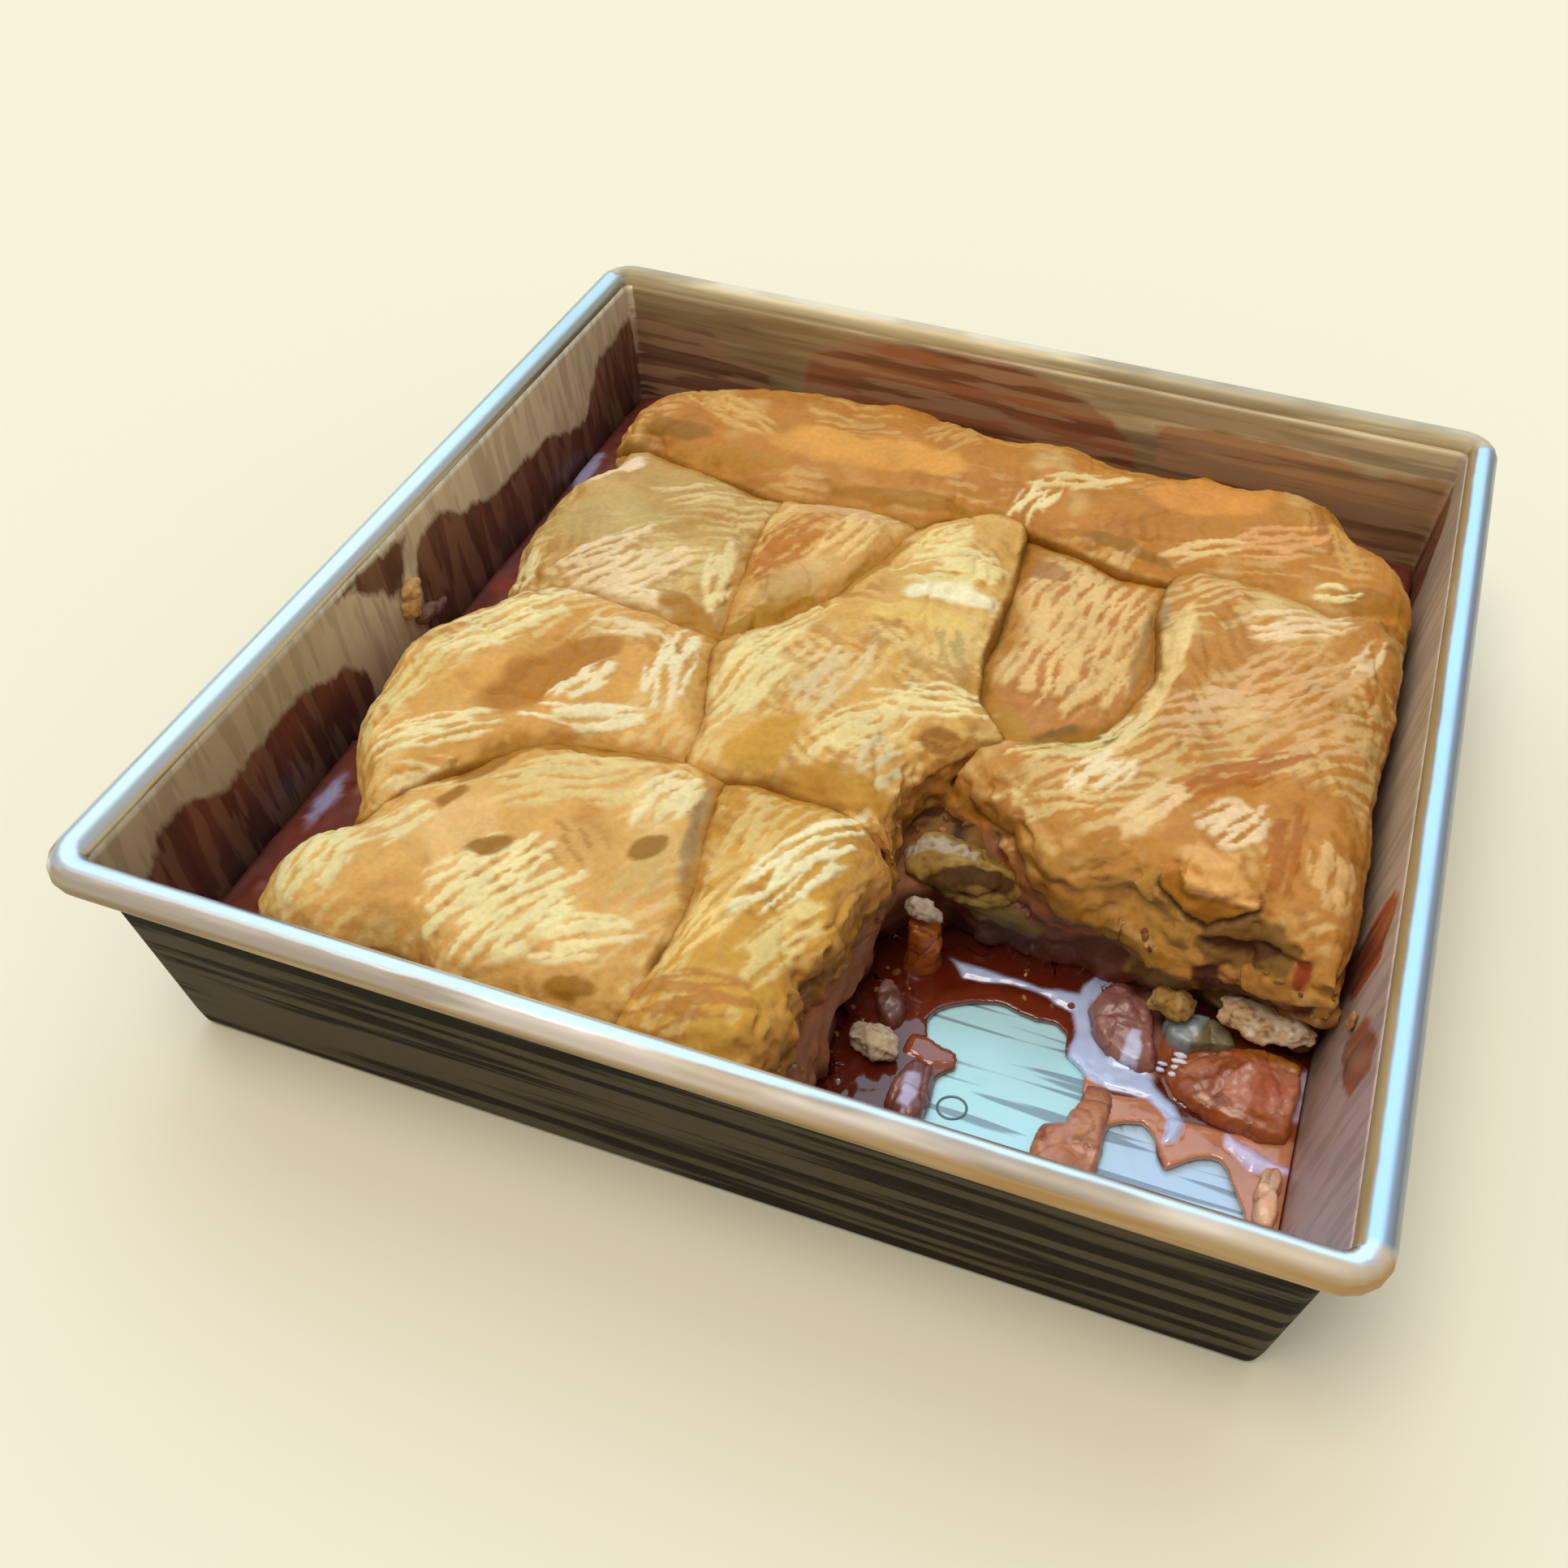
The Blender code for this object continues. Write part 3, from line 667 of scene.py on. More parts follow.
# Golden and matt, with fine grain and a little butter
BAKED_DOUGH = FoodFinish(
    "baked_biscuit_dough", grain=1.4, contrast=0.09, roughness=0.6, wet=0.05, wet_roughness=0.4, bleed=0.05,
    relief=0.3, specular=0.25,
)

# Dark and glossy, with soft gleams
BAKED_FILLING = FoodFinish(
    "baked_peaches_in_syrup", grain=2.4, contrast=0.1, roughness=0.42, wet=0.22, wet_roughness=0.15,
)

# Moist and rough, without a gleam
SOAKED_CRUMB = FoodFinish(
    "syrup_soaked_crumb", grain=1.4, contrast=0.12, roughness=0.62, wet=0.05, wet_roughness=0.3, bleed=0.03,
    relief=0.3, specular=0.25,
)

# Wet, with sharp bright gleams
SYRUP = FoodFinish("peach_syrup", grain=3.0, contrast=0.08, roughness=0.14, wet=0.8, wet_roughness=0.04)

# Slack and shiny, with light under its skin
STEWED_PEACH = FoodFinish(
    "stewed_peach", grain=1.5, contrast=0.12, roughness=0.36, wet=0.35, wet_roughness=0.18, bleed=0.05,
    relief=0.15,
)

# Dry, pale and crumbly
BROKEN_CRUMB = FoodFinish(
    "broken_biscuit_crumb", grain=1.0, contrast=0.12, roughness=0.7, wet_roughness=0.3, bleed=0.05,
    relief=0.3, specular=0.15,
)

# Dry and speckled
LOOSE_CRUMB = FoodFinish("loose_biscuit_crumbs", grain=0.8, contrast=0.12, roughness=0.75)
STUCK_CRUMB = FoodFinish("stuck_biscuit_crumb", grain=1.0, contrast=0.12, roughness=0.7)

# Smooth and wet
FOAM = FoodFinish("juice_foam", grain=1.0, contrast=0.03, roughness=0.3, wet=0.5)


# The tin


class Wall(Enum):
    """An inner wall of the tin: the axis across it, the side it is on and the axis along it."""

    LEFT = (0, -1, 1)
    RIGHT = (0, 1, 1)
    BACK = (1, 1, 0)
    FRONT = (1, -1, 0)


@dataclass(frozen=True)
class WallStain:
    """A baked-on stain on an inner wall: its outline, as (place along the wall, height)."""

    wall: Wall
    tone: str
    outline: tuple


WALL_STAINS = (
    WallStain(Wall.LEFT, "#71382a", (
        (-113, 10), (-110, 32), (-105, 38), (-99, 45), (-92, 45), (-76, 38), (-70, 40), (-51, 41),
        (-37, 36), (-31, 29), (-32, 10),
    )),
    WallStain(Wall.LEFT, "#5f3222", (
        (-34, 52), (-26, 51.5), (-14, 50.5), (-4, 50), (-7, 44), (-10, 38), (-14, 39), (-20, 44.5),
        (-27, 49),
    )),
    WallStain(Wall.LEFT, "#6c3a2a", (
        (-10, 10), (-7, 30), (-5, 38), (-2, 45), (8, 47), (18, 42), (27, 38.5), (42, 37.5), (57, 37),
        (66, 34), (80, 31), (88, 38), (93, 43), (113, 43), (113, 10),
    )),
    WallStain(Wall.BACK, "#a86c48", (
        (-62, 10), (-61, 38), (-58, 46), (-50, 48.5), (-33, 51), (-13, 53), (2, 51.5), (19, 46), (31, 37.5),
        (37, 28), (37, 10),
    )),
    WallStain(Wall.BACK, "#8a664c", (
        (-113, 10), (-113, 44), (-104, 44), (-90, 43), (-83, 38), (-72, 36), (-70, 10),
    )),
    WallStain(Wall.BACK, "#bf9368", (
        (40, 10), (38, 43), (53, 46.5), (75, 44.5), (96, 42), (113, 44), (113, 10),
    )),
    WallStain(Wall.BACK, "#985e46", ((78, 10), (80, 38), (96, 40), (113, 43), (113, 10))),
    WallStain(Wall.RIGHT, "#b4502c", (
        (-29, 12), (-30, 30), (-31, 44), (-37, 50), (-46, 43), (-46, 29), (-38, 18),
    )),
    WallStain(Wall.RIGHT, "#ac5238", ((-57, 28), (-57, 39), (-69, 50), (-76, 48), (-75, 37), (-67, 31))),
    WallStain(Wall.RIGHT, "#80462f", ((113, 10), (113, 44), (100, 40), (92, 30), (88, 10))),
    WallStain(Wall.FRONT, "#84462e", (
        (-113, 8), (-113, 34), (-90, 36), (-40, 31), (10, 33), (20, 25), (22, 8),
    )),
)

# How far from any stain a place counts as clean
CLEAN = 60.0

# Where the spoon wiped the floor bare, in plan
BARE_PATCHES = (
    (
        (32, -59), (37.5, -53), (46, -50.2), (57.5, -51), (61.3, -58), (65.5, -60.5), (67, -66),
        (66.2, -75), (60.5, -82), (60, -92), (56, -103), (48, -105.5), (41, -102), (38.2, -80), (38.2, -72),
        (41.2, -69), (34, -64.6),
    ),
    (
        (73.8, -79), (73.8, -71.5), (80, -68.8), (84.2, -75), (86.3, -77.6), (92, -72.8), (96.5, -72),
        (103, -83), (104.5, -92), (101, -103), (88, -106), (77, -103), (74, -91),
    ),
)


@dataclass
class BakingTin:
    """The square tin: a pan of thin sheet, and its edge rolled into a round bead.

    floor_top is how high the floor's finish reaches, and wall_depth and stain_depth how near a wall a
    place has to be to take that wall's tone and stains.
    """

    inside: float = 230.0
    taper: float = 5.5
    sheet: float = 0.9
    bead_radius: float = 3.43
    bead_step: float = 2.0
    bead_sides: int = 28
    bead_corner_steps: int = 10
    bead_height: float = 53.0
    corner: float = 2.0
    bend: float = 2.2
    side_steps: int = 84
    corner_steps: int = 6
    bend_steps: int = 4
    floor_top: float = 3.6
    wall_depth: float = 1.5
    stain_depth: float = 6.0
    outer_rows: int = 16
    inner_rows: int = 26
    under_halves: tuple = (4, 40, 80, 100)
    floor_halves: tuple = (*range(107, 20, -3), 4)
    finish: AgedSteelFinish = AgedSteelFinish()
    outer_finish: AgedSteelFinish = AgedSteelFinish("patina_of_baked_fat", film_roughness=0.75, specular=0.12)

    def inside_half(self, z: Array | float) -> Array | float:
        """Half the width between the sloping walls at a height."""
        return self.inside / 2 - self.taper * (1 - (z - self.sheet) / (self.bead_height - self.sheet))

    def ring(self, half: float, corner: float, z: float) -> list[Vector]:
        """Points round a square with rounded corners, evenly along its sides.

        Args:
            half: half the square's width.
            corner: the radius of its corners.
            z: its height.

        Returns:
            The points, in metres.
        """
        corner = min(max(corner, 0.5), half * 0.9)
        straight = half - corner
        side = [(half, -straight + 2 * straight * step / self.side_steps) for step in range(self.side_steps)]
        for step in range(self.corner_steps):
            angle = math.pi / 2 * step / self.corner_steps
            side.append((straight + corner * math.cos(angle), straight + corner * math.sin(angle)))
        points = []
        for quarter in range(4):
            turn = math.pi / 2 * quarter
            for x, y in side:
                across = x * math.cos(turn) - y * math.sin(turn)
                along = x * math.sin(turn) + y * math.cos(turn)
                points.append(Vector((across, along, z)) * MM)
        return points

    def sections(self) -> list[tuple[float, float, float]]:
        """The pan's rings, up its outer side and down its inner one: half width, corner radius and height."""
        foot = self.inside_half(self.sheet)
        outer = self.corner + self.sheet
        inner = self.bend - self.sheet / 2
        bends = [math.pi / 2 * step / self.bend_steps for step in range(self.bend_steps + 1)]
        rings = [(half, half * 0.3, 0.0) for half in self.under_halves]
        for angle in bends:
            half = foot + self.sheet - self.bend * (1 - math.sin(angle))
            rings.append((half, outer, self.bend * (1 - math.cos(angle))))
        for z in np.linspace(self.bend + 3, self.bead_height - 1, self.outer_rows):
            rings.append((self.inside_half(z) + self.sheet, outer, z))
        for z in np.linspace(self.bead_height, self.bend + 2, self.inner_rows):
            rings.append((self.inside_half(z), self.corner, z))
        for angle in bends:
            height = self.sheet + inner * (1 - math.sin(angle))
            rings.append((foot - inner * (1 - math.cos(angle)), self.corner, height))
        widest = self.floor_halves[0]
        return rings + [(half, self.corner + (widest - half) * 0.1, self.sheet) for half in self.floor_halves]

    def outer_vertices(self) -> int:
        """How many of the pan's vertices, from the first, are under it or on its outer side."""
        rings = len(self.under_halves) + self.bend_steps + 1 + self.outer_rows
        return rings * 4 * (self.side_steps + self.corner_steps)

    def pan(self) -> bpy.types.Object:
        """The pan's sheet, with its walls meeting the bead from inside."""
        body = bmesh.new()
        loops = [[body.verts.new(point) for point in self.ring(*section)] for section in self.sections()]
        join_loops(body, loops)
        body.faces.new(loops[0])
        body.faces.new(loops[-1])
        return object_from("tin_pan", body)

    def bead(self) -> bpy.types.Object:
        """The rolled rim, swept round the tin by Geometry Nodes."""
        sizes = {
            "Half Width": (self.inside / 2 + self.bead_radius) * MM,
            "Corner Radius": (self.corner + self.bead_radius) * MM,
            "Height": self.bead_height * MM,
            "Bead Radius": self.bead_radius * MM,
        }
        tree, given = new_group("rolled_rim", sizes)
        add = partial(add_node, tree)
        width = add(MATHS, (given["Half Width"], 2.0), **TIMES)
        square = add("GeometryNodeCurvePrimitiveQuadrilateral", {"Width": width, "Height": width})
        fillet = {"Curve": square, "Radius": given["Corner Radius"], "Count": self.bead_corner_steps}
        rounded = add("GeometryNodeFilletCurve", fillet, mode="POLY")
        spacing = {"Curve": rounded, "Length": self.bead_step * MM}
        even = add("GeometryNodeResampleCurve", spacing, mode="LENGTH")
        lift = add("ShaderNodeCombineXYZ", {"Z": given["Height"]})
        raised = add("GeometryNodeSetPosition", {"Geometry": even, "Offset": lift})
        circle = {"Resolution": self.bead_sides, "Radius": given["Bead Radius"]}
        section = add("GeometryNodeCurvePrimitiveCircle", circle, mode="RADIUS")
        end_group(tree, add("GeometryNodeCurveToMesh", {"Curve": raised, "Profile Curve": section}))

        made = put("tin_rolled_rim", bpy.data.meshes.new("tin_rolled_rim"))
        run_nodes(made, tree, sizes)
        body = bmesh.new()
        body.from_mesh(made.data)
        bmesh.ops.recalc_face_normals(body, faces=body.faces)
        body.to_mesh(made.data)
        body.free()
        return made

    def paint_pan(self, made: bpy.types.Object) -> None:
        """Stores where the pan is bare, browned or stained, in what tones, and which way its streaks run.

        Args:
            made: the pan.
        """
        points = read_points(made.data)
        x, y, z = points.T
        outer = np.arange(len(points)) < self.outer_vertices()
        floor = (z < self.floor_top) & ~outer
        wall = self.inside_half(z) - self.wall_depth
        left, right, back = x < -wall, x > wall, y > wall
        # Film tones: each inner wall lighter or darker as painted light and shade, all darker towards the
        # bottom
        low = fade(z, 40, 16)
        tone = paint(
            plain("#a2906f", points),
            ("#a08860", back * (1 - 0.6 * low)),
            ("#dccaa2", back * fade(x, -30, 30) * fade(z, 38, 43)),
            ("#cab8a2", right),
            ("#e4d8be", left),
            ("#c4b598", left * fade(y, -15, -55)),
            ("#6d5840", low * (0.45 - 0.2 * left)),
            ("#d0b0b0", right * fade(y, -30, -80) * 0.8),
            # The outer side dark with patina and painted shade
            ("#524a39", outer),
            ("#6a2410", floor),
        )
        # Steel tones: on the bare floor a pale cyan, a painted reflection of the sky
        steel = paint(plain("#dce9f5", points), ("#c2f5ff", floor), ("#c4e2ff", floor * fade(x, 70, 78)))
        bare = np.max([fade(outline_distance(points[:, :2], patch), 4, 2) for patch in BARE_PATCHES], axis=0)
        stain = np.full(len(points), CLEAN)
        stain_tone = plain("#5a2c1e", points)
        for mark in WALL_STAINS:
            side, sign, along = mark.wall.value
            away = outline_distance(points[:, [along, 2]], mark.outline)
            away[(sign * points[:, side] <= self.inside_half(z) - self.stain_depth) | outer] = CLEAN
            stain_tone = paint(stain_tone, (mark.tone, away < stain))
            stain = np.minimum(stain, away)
        purple = left * fade(z, 37, 24) * (0.35 + 0.5 * fade(np.abs(y + 62), 36, 18))
        stain_tone = paint(stain_tone, ("#5c3430", fade(z, 38, 24) * 0.5), ("#33222c", purple))
        upright = (np.abs(x) > np.abs(y)) & ~outer
        film = np.where(floor, 1 - bare, 0.95)
        store(made.data, film=film, film_tone=tone, steel_tone=steel, stain=stain, stain_tone=stain_tone)
        store(made.data, upright=upright, outside=outer, floor=floor)

    def paint_bead(self, made: bpy.types.Object) -> None:
        """Browns the rim's underside and dulls its sides, each side of the tin in its own way.

        Args:
            made: the bead.
        """
        points = read_points(made.data)
        x, y, z = points.T
        half = self.inside / 2
        up = (z - self.bead_height) / self.bead_radius
        out = (np.maximum(np.abs(x), np.abs(y)) - half - self.bead_radius) / self.bead_radius
        front, back = y < 1 - half, y > half - 1
        left = (x < 1 - half) & ~front & ~back
        right = (x > half - 1) & ~front & ~back
        film = fade(up, 0.1, -0.5) * 0.9
        film = np.where(front, fade(out + 0.35 * fade(x, -20, 50), 0.12, 0.45) * 0.95, film)
        film = np.where(back, 0.9, film)
        film = np.where(right, np.maximum(fade(out, -0.45, -0.7), fade(up, -0.2, -0.7)) * 0.9, film)
        # Film tones, lighter on the front and back beads' tops as painted highlight
        tone = paint(
            plain("#a98d5e", points),
            ("#d6cabe", front * fade(up, 0.1, 0.45)),
            ("#b08a50", front * fade(up, 0.85, 0.5) * fade(x, 0, 60)),
            ("#e4dabc", back * fade(up, 0.0, 0.6)),
            ("#cdbd94", back * fade(out, -0.2, -0.8)),
        )
        # Steel tones: blue and grey tints that are painted reflections of the sky
        steel = paint(
            plain("#dce9f5", points),
            ("#b9c8c6", left * fade(y, -10, 80) * 0.9),
            ("#b6d2f2", right * 0.9),
            ("#8d8f9c", right * fade(out, 0.2, 0.7) * 0.9),
        )
        nowhere = np.zeros(len(points))
        store(made.data, film=film, film_tone=tone, steel_tone=steel, stain=nowhere + CLEAN, stain_tone=tone)
        store(made.data, upright=nowhere, outside=nowhere, floor=nowhere)

    def build(self) -> None:
        """Builds the pan and its bead and dresses them."""
        steel = self.finish.material()
        pan = self.pan()
        self.paint_pan(pan)
        finish_piece(pan, "tin", steel, "baking_tin")
        pan.data.materials.append(self.outer_finish.material())
        outer = self.outer_vertices()
        for face in pan.data.polygons:
            face.material_index = int(max(face.vertices) < outer)
        bead = self.bead()
        self.paint_bead(bead)
        finish_piece(bead, "tin", steel, "baking_tin")


# The crust

# How far apart the middles of neighbouring flaky strokes are
STROKE_GAP = 3.7

# The first seed of the patches' noise
PATCH_SEED = 500


def strokes(points: Array, along: Array, across: Array, length: float, seed: int) -> Array:
    """Weights of a row of side-by-side flaky strokes.

    Args:
        points: the points in space, for the strokes' crumbly edges.
        along: the points' places along the strokes.
        across: their places across them.
        length: half the length of the longest stroke.
        seed: picks one of many rows.

    Returns:
        A weight from 0 between strokes to 1 on them.
    """
    on = np.zeros(len(points))
    for row, tilt in enumerate((-0.17, 0.13)):
        seed += 40 * row
        far = along + tilt * across
        sway = value_noise(np.stack([far / 11, across / 6, points[:, 2] / 20], axis=1), seed)
        place = (across - tilt * along + 1.5 * sway) / STROKE_GAP
        number = np.floor(place)
        cells = (np.stack([number, number * 0, number * 0], axis=1) + CELL_SHIFT).astype(int)
        chance = [cell_random(cells, seed + 11 + k) for k in range(4)]
        middle = (chance[0] - 0.5) * length
        reach = length * (0.45 + 0.65 * chance[1])
        width = 0.1 + 0.22 * chance[2]
        off = np.abs(place - number - 0.5 - 0.12 * (chance[3] - 0.5))
        off += 0.1 * value_noise(points / 0.9, seed + 14) + 0.06 * value_noise(points / 2.2, seed + 15)
        stroke = fade(off, width + 0.08, width - 0.05)
        on = np.maximum(on, stroke * fade(np.abs(far - middle), reach + 0.8, reach - 0.8))
    return on


class Spread(Enum):
    """How a patch of colour lies on the crust."""

    FLAKY = "in streaks"
    EVEN = "all over"


@dataclass(frozen=True)
class Patch:
    """A patch of another colour on the crust.

    middle is its place in plan, half its half length and half width, turn the bearing of its length
    and streaks in degrees from +X, and cover how much it hides.
    """

    middle: tuple
    half: tuple
    turn: float
    tone: str
    cover: float = 0.85
    spread: Spread = Spread.FLAKY

    def weight(self, points: Array, seed: int) -> Array:
        """How strongly the patch covers points.

        Args:
            points: the points in space.
            seed: picks its own noise.

        Returns:
            A weight from 0 to 1 for each point.
        """
        along, across = turned(points[:, :2] - self.middle, self.turn)
        reach = np.hypot(along / self.half[0], across / self.half[1])
        near = reach < 1.7
        weight = np.zeros(len(points))
        if not near.any():
            return weight
        close, reach = points[near], reach[near]
        if self.spread is Spread.EVEN:
            ragged = rough_noise(close / (1.1 * min(self.half) + 0.7), seed, 2)
            weight[near] = self.cover * fade(reach + 0.5 * ragged, 1.15, 0.75)
        else:
            edge = fade(reach + 0.2 * rough_noise(close / 4, seed, 2), 1.15, 0.95)
            streaks = strokes(close, along[near], across[near], self.half[0], seed)
            weight[near] = self.cover * edge * streaks
        return weight


# From the back of the tin to the front; ochre and brown bands along the seams are painted shade
# Lighter bands on the swells, as the near-white one on the middle piece, are painted highlight
PATCHES = (
    Patch((-30, 78), (30, 7), 4, "#e6a650", 0.85, Spread.EVEN),
    Patch((-70, 83), (15, 6), -25, "#dfb06a"),
    Patch((-12, 94), (9, 7), 65, "#d9ab6c", 0.7),
    Patch((10, 98), (16, 4), 4, "#dca94a", 0.7),
    Patch((58, 92), (17, 9), 18, "#e39b4e", 0.9, Spread.EVEN),
    Patch((76, 78), (14, 6), 35, "#efb380", 0.75),
    Patch((60, 69), (11, 3), 28, "#f0d09a"),
    Patch((15, 74), (12, 4), 72, "#f5e6b8", 0.95),
    Patch((24, 86), (13, 3), 28, "#f1dca8"),
    Patch((86, 90), (13, 4), 105, "#a46d20", 0.75),
    Patch((92, 80), (12, 3), 112, "#dba860"),
    Patch((100, 64), (8, 4), 15, "#a9741f", 0.85, Spread.EVEN),
    Patch((92, 64), (6, 3), 20, "#f3e4b4", 0.9),
    Patch((-80, 71), (9, 3.5), 8, "#946611", 0.85, Spread.EVEN),
    Patch((-61, 64), (18, 3.5), 0, "#b98224", 0.8, Spread.EVEN),
    Patch((-15, 63), (22, 3), 4, "#a8731a", 0.85, Spread.EVEN),
    Patch((40, 64), (12, 2.5), -12, "#9a6a16", 0.85, Spread.EVEN),
    Patch((-90, 51), (10, 4), 57, "#f6dac6", 0.95, Spread.EVEN),
    Patch((-65, 47), (12, 5), 25, "#ecd8aa", 0.6),
    Patch((-80, 30), (13, 8), 20, "#c6ad78", 0.6, Spread.EVEN),
    Patch((-70, 14), (19, 10), 52, "#f3dabb", 0.9),
    Patch((-57, 6), (12, 4), 12, "#f4dfbe", 0.85),
    Patch((-48, 22), (15, 3.5), 105, "#efdcae", 0.9),
    Patch((-92, 8), (9, 2.5), 100, "#f4dfb8"),
    Patch((-46, 3), (12, 4), -32, "#b07810", 0.9, Spread.EVEN),
    Patch((-37, 33), (15, 6), 62, "#bf741f", 0.85),
    Patch((-28, 52), (12, 4), 0, "#deb592", 0.65, Spread.EVEN),
    Patch((-22, 42), (13, 5), 75, "#efca8e", 0.9),
    Patch((-29, 20), (11, 5), 45, "#c8a268", 0.7, Spread.EVEN),
    Patch((-30, 9), (13, 4.5), 45, "#b07c0c", 0.95, Spread.EVEN),
    Patch((-13, 35), (13, 3.2), 72, "#b98420", 0.95, Spread.EVEN),
    Patch((38, 30), (29, 18), 80, "#eac58c", 0.92),
    Patch((24, 51), (8, 5), 0, "#ab7440", 0.7, Spread.EVEN),
    Patch((54, 36), (18, 2.6), 88, "#a08763", 0.85, Spread.EVEN),
    Patch((47, -4), (12, 5), 28, "#7d5a10", 0.95, Spread.EVEN),
    Patch((29, -4), (11, 5), -25, "#b98a2f", 0.8, Spread.EVEN),
    Patch((60, 26), (24, 3), 88, "#f4d59c", 0.92, Spread.EVEN),
    Patch((54, -3), (13, 3.5), 60, "#f1daa8", 0.9),
    Patch((42, -13), (13, 4), 35, "#e5d39c", 0.85),
    Patch((84, 46), (15, 6), 30, "#f5d8b6", 0.9),
    Patch((101, 38), (11, 3), 72, "#f2dbb8", 0.8),
    Patch((86, 25), (20, 10), 50, "#e3b584", 0.85),
    Patch((72, 10), (15, 6), 35, "#e6bd96", 0.8),
    Patch((94, 8), (15, 6), 45, "#deb285", 0.8),
    Patch((82, -7), (17, 4.5), 35, "#b0651c", 0.85),
    Patch((72, -16), (8, 4), 50, "#b4691f", 0.8),
    Patch((93, -25), (14, 3.5), 88, "#ae661b", 0.85),
    Patch((54, -17), (10, 5), 68, "#f7e2c6", 0.95),
    Patch((67, -22), (12, 4), 62, "#f0d0a6", 0.85),
    Patch((82, -22), (9, 6), 60, "#f5d8b8", 0.92),
    Patch((103, -27), (9, 5), 95, "#e4b880", 0.9),
    Patch((33, -29), (8, 4), 38, "#ebd8a2", 0.9),
    Patch((48, -27), (13, 3), 18, "#e6d09a", 0.75),
    Patch((78, -41), (8, 4), -30, "#c97f30", 0.9, Spread.EVEN),
    Patch((82, -37), (8, 3), -25, "#e9b473", 0.95, Spread.EVEN),
    Patch((4, 37), (14, 8), 22, "#f3e4b0", 0.85),
    Patch((8, 28), (13, 3.6), 15, "#f9f1d8", 0.98, Spread.EVEN),
    Patch((0, 48), (9, 5), 60, "#f2dfaa", 0.85),
    Patch((5, 18), (15, 4), 5, "#eccb7c", 0.75, Spread.EVEN),
    Patch((13, 9), (9, 4), 112, "#b79c60", 0.75),
    Patch((-24, 6), (13, 5), 60, "#efdaa4", 0.85),
    Patch((-25, -14), (17, 7), 75, "#f2e2ae", 0.9),
    Patch((-8, -8), (15, 6), 80, "#e7d0a8", 0.85),
    Patch((15, -7), (14, 5), 14, "#f3e4b6", 0.95),
    Patch((4, -20), (14, 6), 58, "#f0dfac", 0.85),
    Patch((-14, -32), (9, 6), 60, "#cf9b34", 0.9, Spread.EVEN),
    Patch((6, -38), (15, 4), 2, "#c58f2c", 0.9, Spread.EVEN),
    Patch((12, -28), (7, 7), 75, "#e2d2b2", 0.9),
    Patch((-36, -20), (14, 2.5), 108, "#d5a45c", 0.8, Spread.EVEN),
    Patch((-85, -16), (19, 8), 60, "#f3e6ba", 0.9),
    Patch((-95, -42), (17, 5), 88, "#ead99e", 0.8),
    Patch((-66, -27), (17, 7), 62, "#b4761a", 0.92, Spread.EVEN),
    Patch((-58, -29), (10, 3.5), 65, "#f7e8ca", 0.95),
    Patch((-53, -37), (15, 3.5), 18, "#f6eccf", 0.95),
    Patch((-43, -16), (16, 5), 100, "#f5eace", 0.9),
    Patch((-57, -8), (12, 3), -5, "#f1e0c2", 0.75),
    Patch((-80, -53), (14, 5), 40, "#f5e7bc", 0.9),
    Patch((-74, -63), (12, 4), 30, "#f4e5b8", 0.85),
    Patch((-66, -55), (11, 3), 60, "#94620f", 0.85, Spread.EVEN),
    Patch((-45, -44.5), (17, 3), 8, "#b07610", 0.9, Spread.EVEN),
    Patch((-45, -56), (19, 8), 28, "#e6ce96", 0.85),
    Patch((-27, -53), (10, 5), 72, "#f3e7c0", 0.9),
    Patch((-60, -76), (10, 6), 85, "#f2c68e", 0.65, Spread.EVEN),
    Patch((-46, -88), (15, 14), 65, "#f5e8ba", 0.92),
    Patch((-84, -90), (13, 7), 92, "#eae2b6", 0.85),
    Patch((-74, -80), (11, 4), 60, "#f2e4b6", 0.8),
    Patch((-27, -92), (11, 5), 35, "#f3e5b8", 0.85),
    Patch((-24, -76), (14, 4), 80, "#d8bc80", 0.65),
    Patch((-62, -105), (9, 3), 0, "#a24a2c", 0.9, Spread.EVEN),
    Patch((-18, -60), (13, 2.6), 103, "#a38a64", 0.85, Spread.EVEN),
    Patch((5, -60), (18, 6), 65, "#f4eed0", 0.97),
    Patch((-8, -54), (11, 4), 82, "#e2c484", 0.8),
    Patch((-8, -78), (13, 6), 72, "#f3d294", 0.9),
    Patch((8, -80), (14, 5), 68, "#efda9f", 0.8),
    Patch((13, -86), (10, 4), 85, "#c58c2c", 0.7, Spread.EVEN),
    Patch((-4, -98), (13, 6), 15, "#b57533", 0.75),
    Patch((-25, -67), (4.2, 2.4), 60, "#9c6a04", 0.9, Spread.EVEN),
    Patch((-54, -78), (4.6, 2.2), 35, "#9c6804", 0.9, Spread.EVEN),
    Patch((-67, -68), (4.2, 2.0), 70, "#9c6a04", 0.9, Spread.EVEN),
    Patch((-25, -102), (4.6, 2.0), 15, "#a06c06", 0.9, Spread.EVEN),
    Patch((20, -17), (3.2, 5.5), 95, "#9a6412", 0.9, Spread.EVEN),
)


@dataclass(frozen=True)
class DoughTone:
    """A dough piece's node, its main colour, and the bearing of its own faint streaks in degrees."""

    node: str
    tone: str
    turn: float


DOUGH_TONES = (
    DoughTone("crust_back", "#c48333", 8),
    DoughTone("crust_left_back", "#c49d5e", 28),
    DoughTone("crust_middle_back", "#d8a560", 70),
    DoughTone("crust_middle", "#dfb066", 68),
    DoughTone("crust_right_back", "#c68646", 80),
    DoughTone("crust_right", "#c68a41", 38),
    DoughTone("crust_left", "#dca65c", 62),
    DoughTone("crust_front_left", "#dfac66", 60),
    DoughTone("crust_front_middle", "#d3a045", 72),
)

